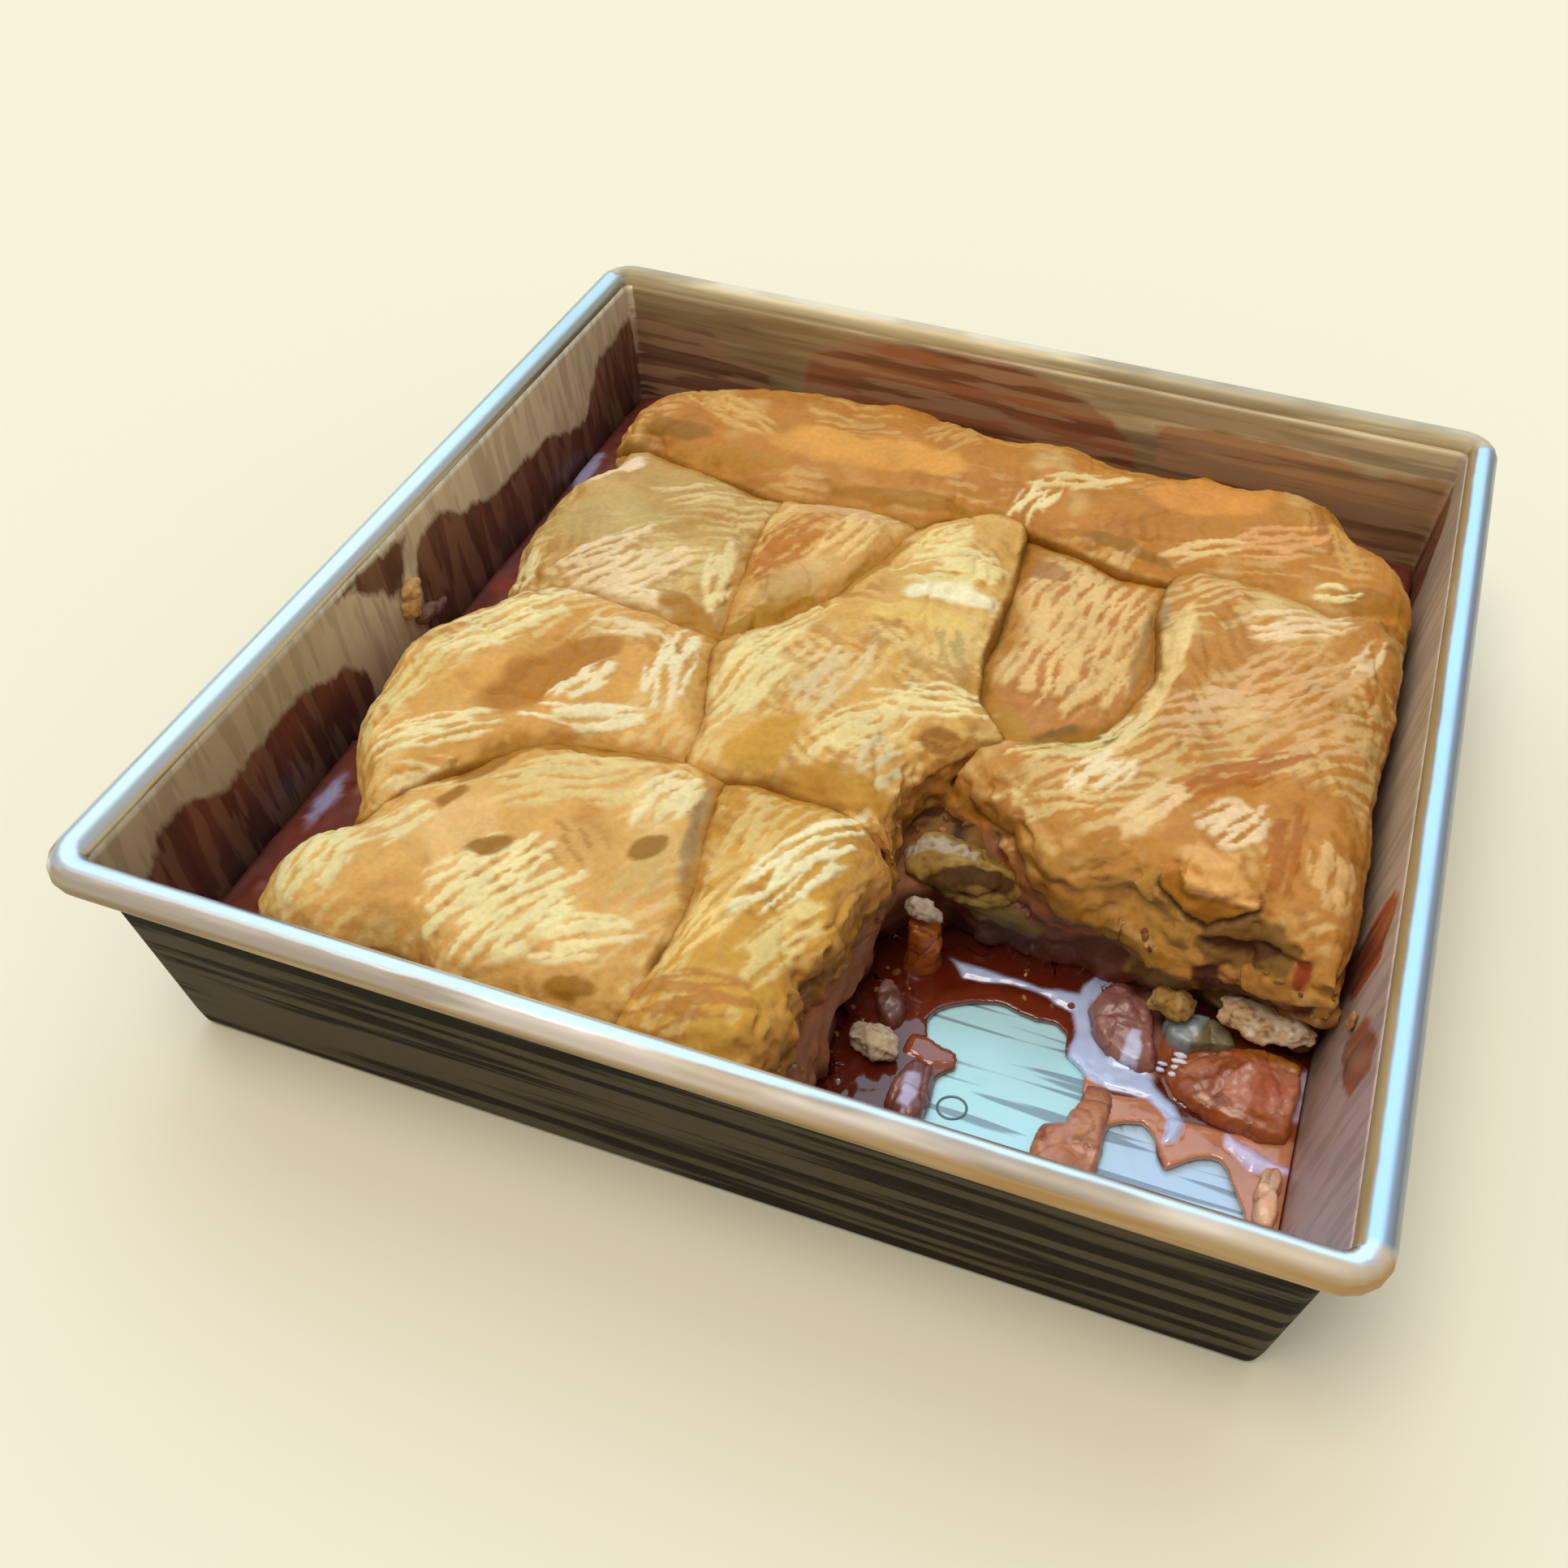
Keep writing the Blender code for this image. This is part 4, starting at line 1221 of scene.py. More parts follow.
# The torn edge of the crust, in plan, from the tin's front wall round to its right one
TEAR_LINE = (
    (14, -109), (15.5, -92), (13, -83), (18, -72), (17, -63), (20, -56), (20, -47), (17.5, -40), (17, -30),
    (19, -23), (23, -20), (28, -23.5), (34, -26.5), (40, -31), (45.5, -37.5), (54, -41.5), (66, -38),
    (78, -44), (91, -41), (101, -46), (112, -50), (112, -109),
)


def hollow_distance(points: Array) -> Array:
    """Distance in plan from the scooped hollow: negative inside it."""
    return outline_distance(points[:, :2], TEAR_LINE)


# Layers, gaps and a lifted flake on the torn edge, as seen from the front: outlines in (x, z). The dark zones
# that sink into the face are painted shade in its gaps.
FACE_ZONES = (
    Zone("#84602c", 0.0, (
        (81.3, 34.5), (89, 38.6), (96.6, 38.2), (101.7, 36.9), (98.7, 30.5), (87.1, 25.7), (80.6, 29.7),
    )),
    Zone("#562a12", -1.0, (
        (81.6, 32.8), (85.7, 34.1), (90.3, 32.6), (96.9, 34.9), (97.3, 33), (90.9, 28.9), (85.7, 29.9),
        (82.2, 31.1),
    )),
    Zone("#4a2c10", -0.8, (
        (70.6, 39.4), (71.6, 41.6), (75, 44), (91.2, 40.8), (91.6, 39.4), (85.6, 36), (82.2, 33.8),
        (77.2, 36.2), (73.4, 37.2),
    )),
    Zone("#c07e24", 1.5, (
        (71.6, 41.8), (75.4, 44.5), (82.2, 43), (90.8, 40.1), (85.1, 37.5), (82.2, 35.3), (77.7, 38),
        (74.2, 38.7), (71.8, 39),
    )),
    Zone("#f0b874", 0.5, (
        (75.3, 45.7), (84.4, 45.2), (89.8, 42.3), (90.7, 40.3), (87.1, 40.4), (80.8, 42.3), (76.6, 43.6),
    )),
    Zone("#7c4630", 0.0, (
        (42, 26), (47.4, 29.6), (55.5, 27), (63.8, 21.5), (70.9, 17.4), (70.3, 10.8), (65.6, 6),
        (56.6, 6.2), (48.1, 11.2), (43, 21),
    )),
    Zone("#a4741c", 0.5, (
        (55.2, 29.4), (61.2, 28.6), (67, 25.2), (79, 25.5), (77, 22.8), (69.6, 20.4), (62.8, 22.5),
    )),
    Zone("#562a12", -0.8, (
        (87.4, 22), (92.5, 22), (101.5, 25.6), (106, 26), (106, 21.9), (98.4, 16.3), (88, 10.8),
    )),
    Zone("#b47c3a", 0.7, ((90.2, 25.4), (99.3, 31), (102.2, 26.6), (95.7, 22.6))),
    Zone("#4a2412", -0.6, ((81.4, 24.6), (86.2, 26.9), (88.1, 21), (85.1, 8.3), (82.2, 19))),
    Zone("#b0904a", 0.4, ((67.4, 8.8), (73.9, 22), (75, 21), (69.2, 7.3))),
    Zone("#a4824a", 0.4, ((73.6, 10), (75.8, 21), (80.6, 20.9), (80.6, 6), (77, 12))),
    Zone("#8a7032", 0.6, (
        (31, 15), (36, 21), (41.5, 23), (45, 22), (50.5, 17.9), (46, 12.1), (40.6, 15.1), (37.7, 15.5),
        (34.1, 14.8),
    )),
    Zone("#623c32", 0.9, (
        (34.5, 15.2), (37.7, 14.7), (41.3, 15.6), (50.1, 17.5), (49.7, 6.4), (44.9, 1), (38, 2.5),
        (35.5, 4),
    )),
    Zone("#2c1206", -0.6, ((27.8, 12), (30.9, 11.9), (34.9, 6), (34.9, 1), (29.4, 1))),
    Zone("#9a2f14", 0.2, ((100.3, 35.3), (102.7, 37.3), (103.4, 34.1), (102.6, 28.6), (100.4, 30.1))),
)

# How high syrup soaked the torn edge: places from left to right, and heights there
SOAKED_TO = ((14, 20, 30, 40, 60, 76, 112), (26.5, 26, 28, 32.5, 22.5, 14.5, 12))


def face_covers(points: Array) -> list[Array]:
    """Where the zones of the torn edge lie.

    Args:
        points: the points in space.

    Returns:
        For each zone, how strongly it covers each point, from 0 to 1.
    """
    near = fade(np.abs(hollow_distance(points)), 13, 10)
    wander = 0.9 * rough_noise(points / 3, 179, 2)
    return [near * zone.cover(points[:, [0, 2]], wander, 0.4) for zone in FACE_ZONES]


def face_rise(points: Array) -> Array:
    """How far the zones of the torn edge lift each point."""
    return sum(zone.rise * cover for zone, cover in zip(FACE_ZONES, face_covers(points)))


def torn_face(shade: Array, points: Array, weight: Array) -> Array:
    """Colours of the torn slope: tan crumb, brown where syrup soaked it, and mixed rubble at its right end.

    Args:
        shade: the colours under it.
        points: the points in space.
        weight: how much each point belongs to the slope.

    Returns:
        The new colours.
    """
    x, _, z = points.T
    ragged = z + 2.2 * rough_noise(points / 5, 171, 2)
    soak = np.interp(x, *SOAKED_TO)
    grain = value_noise(points / (6.0, 6.0, 1.7), 141)
    clot = value_noise(points / (6.0, 6.0, 3.2), 177)
    soaked = weight * fade(ragged, soak + 1.0, soak - 1.0)
    rubble = weight * fade(x, 66, 76) * fade(z, 22, 18)
    shade = paint(
        shade,
        ("#c88a46", weight * 0.94),
        ("#d6a257", weight * fade(ragged - soak, 6, 12) * 0.7),
        ("#92620e", weight * fade(np.abs(ragged - soak - 3), 3.2, 1.2) * 0.75),
        ("#e3b778", weight * fade(grain, 0.3, 0.55) * 0.55),
        ("#6d4316", weight * fade(grain, -0.35, -0.6) * 0.6),
        ("#9a6038", soaked * 0.95),
        ("#774838", soaked * fade(clot, 0.0, 0.4) * 0.7),
        ("#9c7058", soaked * fade(grain, 0.3, 0.6) * 0.55),
        # Lighter soaked crumb on the left face, painted light where the face is turned from the sun
        ("#b8785a", soaked * fade(x, 30, 22) * fade(clot, -0.5, 0.3) * 0.6),
        ("#a3763a", rubble * fade(clot, -0.2, 0.2) * 0.95),
        ("#5a2a1a", rubble * fade(clot, -0.1, -0.4) * 0.9),
        ("#dcb888", rubble * fade(grain, 0.25, 0.5) * 0.85),
        ("#70300f", weight * fade(ragged, 9.5, 6.5) * fade(x, 80, 66) * 0.95),
    )
    return paint(shade, *((zone.tone, cover * 0.88) for zone, cover in zip(FACE_ZONES, face_covers(points))))


def neighbours(grid: Array, reach: int) -> Array:
    """A grid's cells and those round each one, stacked."""
    steps = range(-reach, reach + 1)
    return np.stack([np.roll(grid, (down, along), (0, 1)) for down in steps for along in steps])


def evened(grid: Array, reach: int) -> Array:
    """Evens a grid out.

    Args:
        grid: the grid.
        reach: how many cells each way count.

    Returns:
        The mean round each cell.
    """
    width = 2 * reach + 1
    for _ in range(2):
        padded = np.pad(grid, ((0, 0), (reach + 1, reach)), mode="edge")
        sums = np.cumsum(padded, axis=1)
        grid = ((sums[:, width:] - sums[:, :-width]) / width).T
    return grid


@dataclass
class Relief:
    """The crust in plan, in cells of one millimetre: how far each is sunk, and the seams."""

    reach: int = 118
    above: float = 90.0
    empty_height: float = 24.0
    drop: Array = field(init=False)
    seam: Array = field(init=False)

    def __post_init__(self) -> None:
        """Works both grids out from the CAD crust."""
        heights, owners = self.survey()
        for _ in range(2):
            around = neighbours(heights, 1)
            known = (~np.isnan(around)).sum(axis=0)
            mean = np.nansum(around, axis=0) / np.maximum(known, 1)
            heights = np.where(np.isnan(heights) & (known > 0), mean, heights)
        heights = np.where(np.isnan(heights), self.empty_height, heights)
        level = heights
        for _ in range(3):
            level = evened(level, 7)
        self.drop = level - heights
        around = neighbours(owners, 2)
        lowest = np.where(around < 0, len(DOUGH_TONES), around).min(axis=0)
        self.seam = evened((lowest < around.max(axis=0)) * 1.0, 1)

    def survey(self) -> tuple[Array, Array]:
        """Drops rays on the CAD crust.

        Returns:
            The height of each cell, or not a number where it has none, and its piece's number, or -1.
        """
        body = bmesh.new()
        ends = []
        for dough in DOUGH_TONES:
            body.from_mesh(frame["nodes"][dough.node].data)
            ends.append(len(body.faces))
        tree = BVHTree.FromBMesh(body)
        body.free()
        steps = range(-self.reach, self.reach + 1)
        heights = np.full((len(steps), len(steps)), np.nan)
        owners = np.full(heights.shape, -1)
        for row, y in enumerate(steps):
            for column, x in enumerate(steps):
                hit, _, face, _ = tree.ray_cast(Vector((x, y, self.above)) * MM, Vector((0, 0, -1)))
                if hit:
                    heights[row, column] = hit.z / MM
                    owners[row, column] = np.searchsorted(ends, face, side="right")
        return heights, owners

    def at(self, grid: Array, points: Array) -> Array:
        """A grid's value at points, between those of the cells round each.

        Args:
            grid: one of the two grids.
            points: the points in space.

        Returns:
            A number for each point.
        """
        cell = np.clip(points[:, :2] + self.reach, 0, 2 * self.reach - 1.001)
        low = np.floor(cell).astype(int)
        x, y = low.T
        right, up = (cell - low).T
        near = grid[y, x] * (1 - right) + grid[y, x + 1] * right
        far = grid[y + 1, x] * (1 - right) + grid[y + 1, x + 1] * right
        return near * (1 - up) + far * up


@dataclass
class Crust:
    """The nine pieces of dough, browned, streaked with pale flakes, and torn open at the hollow."""

    voxel: float = 0.7
    smoothing: int = 6
    browning: tuple = (0.94, 0.91, 0.73)
    lowest: float = 21.2
    finish: FoodFinish = BAKED_DOUGH

    def torn(self, points: Array, normals: Array) -> Array:
        """How much each point belongs to the torn side of the crust, from 0 to 1."""
        near = fade(np.abs(hollow_distance(points) + 1), 10, 5)
        return near * fade(normals[:, 2] + 0.2 * rough_noise(points / 4, 161, 2), 0.85, 0.55)

    def shape(self, points: Array, normals: Array, flakes: Array, relief: Relief) -> Array:
        """Roughens a piece.

        Args:
            points: its vertices.
            normals: their normals.
            flakes: how much each belongs to a flaky streak.
            relief: the crust in plan.

        Returns:
            The new vertices.
        """
        x, _, z = points.T
        rise = normals[:, 2]
        top = fade(rise, 0.1, 0.6)
        torn = self.torn(points, normals)
        whole = 1 - torn
        seam = relief.at(relief.seam, points)

        # Swells, grain and flakes
        lift = 0.9 * rough_noise(points / 10, 11)
        lift += (0.3 + 0.3 * torn) * rough_noise(points / 3.1, 21)
        lift += 0.12 * rough_noise(points / 1.2, 31, 2)
        lift += 0.28 * flakes * top * (1 - seam)

        # Fine cracks on top, in some places
        bent = warped(points, 6, 2.2, 40)
        first, second, _ = cell_distances(bent / 17, 51)
        patchy = fade(value_noise(points / 24, 61), -0.1, 0.4)
        lift -= 0.7 * fade(second - first, 0.08, 0.0) * patchy * top * whole

        # Layers, upright ridges at the left end, and pits where it is torn
        layers = value_noise(bent / (11.0, 11.0, 2.6), 71)
        lift += torn * 1.2 * (fade(layers, -0.1, 0.35) - 0.5)
        ridges = rough_noise(points / (2.4, 2.4, 9.0), 73, 2)
        lift += torn * fade(x, 24, 19) * 1.3 * ridges
        pit, _, size = cell_distances(points / 4.2, 81)
        lift -= torn * 0.9 * fade(pit, 0.42, 0.15) * (size > 0.6)

        # Blisters, and sides that swell until their seams close
        blister, _, mark = cell_distances(points / 9, 91)
        lift += top * whole * 0.5 * fade(blister, 0.32, 0.0) * (mark > 0.7)
        lift += 0.4 * (1 - top) * whole
        lift += seam * fade(rise, 0.92, 0.5) * whole
        lift += face_rise(points)
        moved = points + normals * lift[:, None]

        # The torn side slumps at its foot
        sideways = normals[:, :2] / np.maximum(np.linalg.norm(normals[:, :2], axis=1), 0.35)[:, None]
        slump = torn * fade(z, 36, 23) * fade(x, 19, 26) * fade(x, 109, 98)
        moved[:, :2] += sideways * (slump * (3.6 + 1.4 * rough_noise(points / 6, 99)))[:, None]
        moved[:, 2] = np.maximum(moved[:, 2], self.lowest)
        return moved

    def colour(
        self, points: Array, normals: Array, dough: DoughTone, covers: list[Array], relief: Relief
    ) -> Array:
        """Colours of a piece: its own gold, its patches, painted ochre shade in creases, and soaked, browned
        torn sides.

        Args:
            points: its vertices.
            normals: their normals.
            dough: the piece's tones.
            covers: how strongly each patch covers each vertex.
            relief: the crust in plan.

        Returns:
            A linear colour for each vertex.
        """
        top = fade(normals[:, 2], 0.15, 0.6)
        seam = relief.at(relief.seam, points)
        drift = rough_noise(points / 13, 101)
        along, across = turned(points, dough.turn)
        faint = strokes(points, along % 26 - 13, across + 9 * np.floor(along / 26), 13, 181)
        faint *= top * fade(value_noise(points / 15, 183), -0.15, 0.25)
        deep = strokes(points, across % 22 - 11, along + 7 * np.floor(across / 22), 10, 191)
        deep *= top * fade(value_noise(points / 12, 193), 0.1, 0.45)
        sunk = relief.at(relief.drop, points) + 0.6 * rough_noise(points / 4, 131, 2)
        soaked = fade(points[:, 2] + 1.6 * rough_noise(points / 5, 151, 2), 25.5, 22.0)
        shade = paint(
            plain(dough.tone, points),
            ("#b4752f", fade(drift, 0.15, 0.9) * 0.5),
            ("#ecd096", fade(-drift, 0.15, 0.8) * 0.5),
            ("#f0d9a2", faint * (0.3 if dough.node == "crust_back" else 0.5)),
            ("#ab6f22", deep * 0.55),
            *((patch.tone, cover * (0.5 + 0.5 * top)) for patch, cover in zip(PATCHES, covers)),
            # Ochre and brown low in the creases and on the seams' sides: painted shade
            ("#b87c12", fade(sunk, 0.6, 2.2) * 0.75),
            ("#7c500a", fade(sunk, 2.2, 4.5) * 0.7),
            ("#8a5c12", seam * fade(normals[:, 2], 0.95, 0.65) * 0.85),
            ("#7a3218", soaked * 0.8),
        )
        return torn_face(shade, points, self.torn(points, normals)) * self.browning

    def build(self, relief: Relief) -> None:
        """Builds and dresses every piece of dough.

        Args:
            relief: the crust in plan.
        """
        material = self.finish.material()
        for dough in DOUGH_TONES:
            made, points, normals = fine_copy(dough.node, f"baked_{dough.node}", self.voxel, self.smoothing)
            covers = [patch.weight(points, PATCH_SEED + 20 * number) for number, patch in enumerate(PATCHES)]
            flaky = [cover for patch, cover in zip(PATCHES, covers) if patch.spread is Spread.FLAKY]
            write_points(made.data, self.shape(points, normals, np.max(flaky, axis=0), relief))
            points, normals = read_points(made.data), read_normals(made.data)
            store(made.data, tone=self.colour(points, normals, dough, covers, relief))
            finish_piece(made, "crust", material, dough.node)


# The filling, the syrup and the peaches


@dataclass
class Filling:
    """Baked peaches in dark syrup: glossy where it shows round the crust, lumpy where it is cut."""

    voxel: float = 1.1
    smoothing: int = 9
    lowest: float = 1.0
    notch_place: tuple = (26, -27)
    notch_half: tuple = (12, 9)
    glints: tuple = ((-108.5, 71), (-106, -62))
    glint_half: tuple = (2.4, 8)
    finish: FoodFinish = BAKED_FILLING
    torn_finish: FoodFinish = SOAKED_CRUMB

    def build(self) -> None:
        """Builds and dresses the filling."""
        made, points, normals = fine_copy("peach_filling", "filling_of_peaches", self.voxel, self.smoothing)
        plan, z = points[:, :2], points[:, 2]
        away = np.abs(hollow_distance(points))
        near = fade(away, 9, 4)
        face = near * fade(normals[:, 2], 0.9, 0.6)
        top = fade(normals[:, 2], 0.4, 0.9)
        upper = fade(z, 18, 20.5)
        from_wall = BakingTin().inside_half(z) - np.abs(plan).max(axis=1)
        notch = fade(np.linalg.norm((plan - self.notch_place) / self.notch_half, axis=1), 1.1, 0.5)
        fruit, beside, mark = cell_distances(warped(points, 7, 2.5, 250) / (13.0, 13.0, 9.0), 201)

        lift = face * (2.0 * (0.55 - fruit) + 0.9 * rough_noise(points / 4, 211))
        rubble = face * fade(points[:, 0], 64, 76)
        lift += rubble * (1.6 * fade(z, 4, 8) + 1.2 * rough_noise(points / 3, 215))
        lift += face_rise(points)
        lift += top * (1.3 * fade(from_wall, 3.2, 0.0) + 0.4 * rough_noise(points / 7, 221))
        bubble, _, chosen = cell_distances(points / 5, 231)
        lift += top * 0.7 * fade(bubble, 0.34, 0.1) * (chosen > 0.6)
        moved = points + normals * lift[:, None]
        moved[:, 2] += upper * (1.7 * near + notch * (4.5 + rough_noise(points / 4, 223)))
        limit = (BakingTin().inside_half(moved[:, 2]) - 0.1)[:, None]
        moved[:, :2] = np.clip(moved[:, :2], -limit, limit)
        moved[:, 2] = np.maximum(moved[:, 2], self.lowest)
        write_points(made.data, moved)

        shade = paint(
            plain("#702a10", points),
            ("#963c1a", fade(rough_noise(points / 9, 241), 0.0, 0.7) * 0.8),
            # Painted shade: the syrup darker where it meets the walls
            ("#4e2a2a", top * fade(from_wall, 6, 1.5) * 0.6),
        )
        # Painted reflections of the window's glow on the syrup by the left wall
        for middle in self.glints:
            glint = np.linalg.norm((plan - middle) / self.glint_half, axis=1)
            glint += 0.3 * rough_noise(points / 3, 245)
            shade = paint(shade, ("#a9a2c8", top * fade(glint, 1.1, 0.6) * 0.85))
        shade = paint(shade, ("#93502c", face * fade(beside - fruit, 0.05, 0.2) * (mark > 0.4) * 0.6))
        shade = torn_face(shade, moved, np.maximum(face, fade(away, 7, 5) * fade(moved[:, 2], 17, 19)))
        raised = notch * fade(moved[:, 2], 19, 21)
        crumbled = raised * fade(rough_noise(points / 4, 225), -0.2, 0.2)
        store(made.data, tone=paint(shade, ("#7a5220", raised), ("#3a2208", crumbled)))
        finish_piece(made, "filling", self.finish.material(), "peach_filling")
        made.data.materials.append(self.torn_finish.material())
        dry = np.maximum(face * fade(moved[:, 2], 7, 10), fade(away, 9, 7) * (moved[:, 2] > 18)) > 0.5
        for polygon in made.data.polygons:
            polygon.material_index = int(dry[polygon.vertices[0]])


# Zones of the syrup on the floor, in plan
PUDDLES = (
    Zone("#d08a64", 0.5, (
        (66, -61), (73, -64), (80, -63), (85, -66), (96, -65), (108, -62), (109, -86), (101, -84),
        (99, -77), (96, -73), (91, -74), (86.5, -78), (83, -72), (79, -70), (74, -72), (74, -85), (60, -86),
        (60, -77), (66, -75),
    )),
    Zone("#9c5230", 0.7, ((30, -64), (36, -63.5), (41.5, -66), (41, -69), (36, -71), (30, -69))),
    Zone("#a06a62", 0.4, ((63, -38), (77, -38), (82, -52), (80, -58), (71, -58), (65, -50))),
    Zone("#9c4c22", 0.5, ((80, -40), (109, -40), (109, -63), (96, -65), (84, -61), (79, -54))),
)

# Films of juice on it, in plan, raised, and painted pale lavender as reflections of the window's glow
REFLECTION_FILMS = (
    Zone("#c6d6ff", 0.6, (
        (31.5, -42.5), (36, -46.5), (47, -44.6), (55, -45.4), (60, -47.6), (62, -52), (61.5, -58),
        (62.5, -61), (72, -63.5), (80, -63), (84.5, -66.5), (84.6, -72.5), (87, -71.5), (88, -66.5),
        (85, -63), (80.5, -60), (78.5, -56.5), (76, -49), (74, -46.5), (72, -48), (71.6, -54.5),
        (69.5, -56), (65.5, -51), (63.5, -44), (65, -37), (61.5, -37.5), (60.5, -42), (52, -43.2),
        (42, -43),
    )),
    Zone("#dcdcff", 0.3, ((107.6, -46), (109.2, -46), (109.2, -59), (107.6, -58))),
    Zone("#dccff8", 0.6, (
        (95.5, -64.5), (98, -67), (102, -68), (109, -70), (106, -72), (102, -73), (97, -69),
    )),
)


@dataclass
class SyrupPool:
    """The syrup on the floor of the hollow: dark, then pulpy and pink, with films of juice painted as sky
    reflections.
    """

    voxel: float = 0.5
    smoothing: int = 3
    lowest: float = 1.0
    finish: FoodFinish = SYRUP

    def build(self) -> None:
        """Builds and dresses the pool."""
        made, points, normals = fine_copy("syrup_pool", "syrup_on_the_floor", self.voxel, self.smoothing)
        plan = points[:, :2]
        half = BakingTin().inside_half(self.lowest)
        top = fade(normals[:, 2], 0.2, 0.8)
        from_wall = half - np.abs(plan).max(axis=1)
        outer = np.maximum(fade(hollow_distance(points), -7, -4.5), fade(from_wall, 4.5, 2.5))
        spread = (1 - top) * outer * (3.0 + 2.2 * fade(points[:, 1], -44, -40))
        lift = 0.24 * rough_noise(points / 6, 301) + 0.05 * rough_noise(points / 2, 311)
        bare = np.min([outline_distance(plan, patch) for patch in BARE_PATCHES], axis=0)
        bare += 1.5 * rough_noise(points / 5, 331)
        shade = paint(plain("#5e1d0a", points), ("#742e16", fade(bare, 6, 2)))
        wander = 0.8 * rough_noise(points / 4, 341, 2)
        pulp = fade(rough_noise(points / 3.5, 351), 0.25, 0.7) * fade(points[:, 0], 64, 72)
        for zones, strength in ((PUDDLES, 0.92), (REFLECTION_FILMS, 1.0)):
            for zone in zones:
                away = outline_distance(plan, zone.outline) + wander
                lift += zone.rise * fade(away, 0.6, -1.2) - 0.25 * fade(np.abs(away), 0.7, 0.0)
                shade = paint(shade, (zone.tone, fade(away, 0.5, -0.5) * strength))
            if zones is PUDDLES:
                shade = paint(shade, ("#a35f42", pulp * 0.3))
        moved = points + normals * (top * lift + spread)[:, None]
        moved[:, :2] = np.clip(moved[:, :2], 0.3 - half, half - 0.3)
        moved[:, 2] = np.maximum(moved[:, 2], self.lowest)
        write_points(made.data, moved)
        store(made.data, tone=shade)
        finish_piece(made, "syrup", self.finish.material(), "syrup_pool")


@dataclass(frozen=True)
class PieceTone:
    """A small piece's node, its main colour, a second one that patches it, and marks on it in plan."""

    node: str
    tone: str
    patch: str
    marks: tuple = ()


SLICE_TONES = (
    PieceTone("peach_slice_right", "#94491a", "#a45420", (
        Zone("#b8745a", 0.0, (
            (96.5, -53), (103.5, -49), (109, -51), (109, -60), (102.5, -61.8), (95.5, -61.8), (91.5, -57.5),
        )),
        Zone("#a9583a", 0.0, ((97.5, -55), (103, -52.5), (106, -55), (104, -58.5), (98, -58.5))),
        Zone("#b87452", 0.0, ((84.5, -54.5), (91, -50.4), (94.5, -51.6), (91, -54.2), (87, -56.4))),
        Zone("#94661a", 0.0, ((92, -48.6), (97, -49.6), (109, -50.4), (109, -45), (92, -45))),
        # A painted highlight along the slice's front edge
        Zone("#e6b494", 0.0, (
            (89.5, -60.4), (94, -62.4), (103, -63.2), (103, -64), (93.6, -63.6), (88.6, -61.2),
        )),
    )),
    PieceTone("peach_slice_back", "#98625a", "#a8766e", (
        # A painted highlight: the window's glow on the wet slice
        Zone("#d2daff", 0.0, (
            (72.2, -59), (72.1, -53), (73, -50.6), (74.6, -50.6), (75.4, -53), (76.2, -59),
        )),
        Zone("#6a2c28", 0.0, ((77.4, -51.5), (80, -53), (80, -56), (78, -55.4))),
    )),
    PieceTone("peach_slice_small", "#8c8260", "#7c6c4a", (
        # A painted reflection of the sky on its wet skin
        Zone("#9fb0ba", 0.0, ((77, -40), (88, -41), (85, -51), (77, -49))),
    )),
    PieceTone("peach_slice_front", "#cb8a66", "#b87450"),
    PieceTone("peach_slice_corner", "#e2b490", "#cc8460"),
    PieceTone("peach_slice_upright", "#c06812", "#9a4c0a"),
    PieceTone("peach_slice_left", "#875048", "#6e3c36", (
        # A painted highlight on the wet slice
        Zone("#d4ccf2", 0.0, ((33.2, -76.4), (35.4, -75.4), (36.4, -80), (35.6, -83.4), (33, -82.6))),
    )),
    PieceTone("peach_slice_left_back", "#886058", "#6a4238"),
)

FRAGMENT_TONES = (
    PieceTone("crust_fragment_right", "#dcb88c", "#f4e2c8"),
    PieceTone("crust_fragment_back", "#b08a4c", "#c8a468"),
    PieceTone("crust_fragment_left", "#c8b494", "#b09484"),
    PieceTone("crust_fragment_notch", "#a4907a", "#bcae9e"),
    PieceTone("crust_fragment_mound", "#937234", "#a88744", (
        # A pale band along its top: lighter crumb, and partly a painted highlight
        Zone("#b4a48c", 0.0, ((20, -34.5), (26, -33.2), (33, -34), (33, -36.2), (26, -36.4), (20, -37))),
        # Painted shade along its underside
        Zone("#3e1e02", 0.0, (
            (25, -41), (31, -38.6), (37, -36.6), (41, -37.4), (39, -40.4), (33, -42), (27, -42.6),
        )),
    )),
)


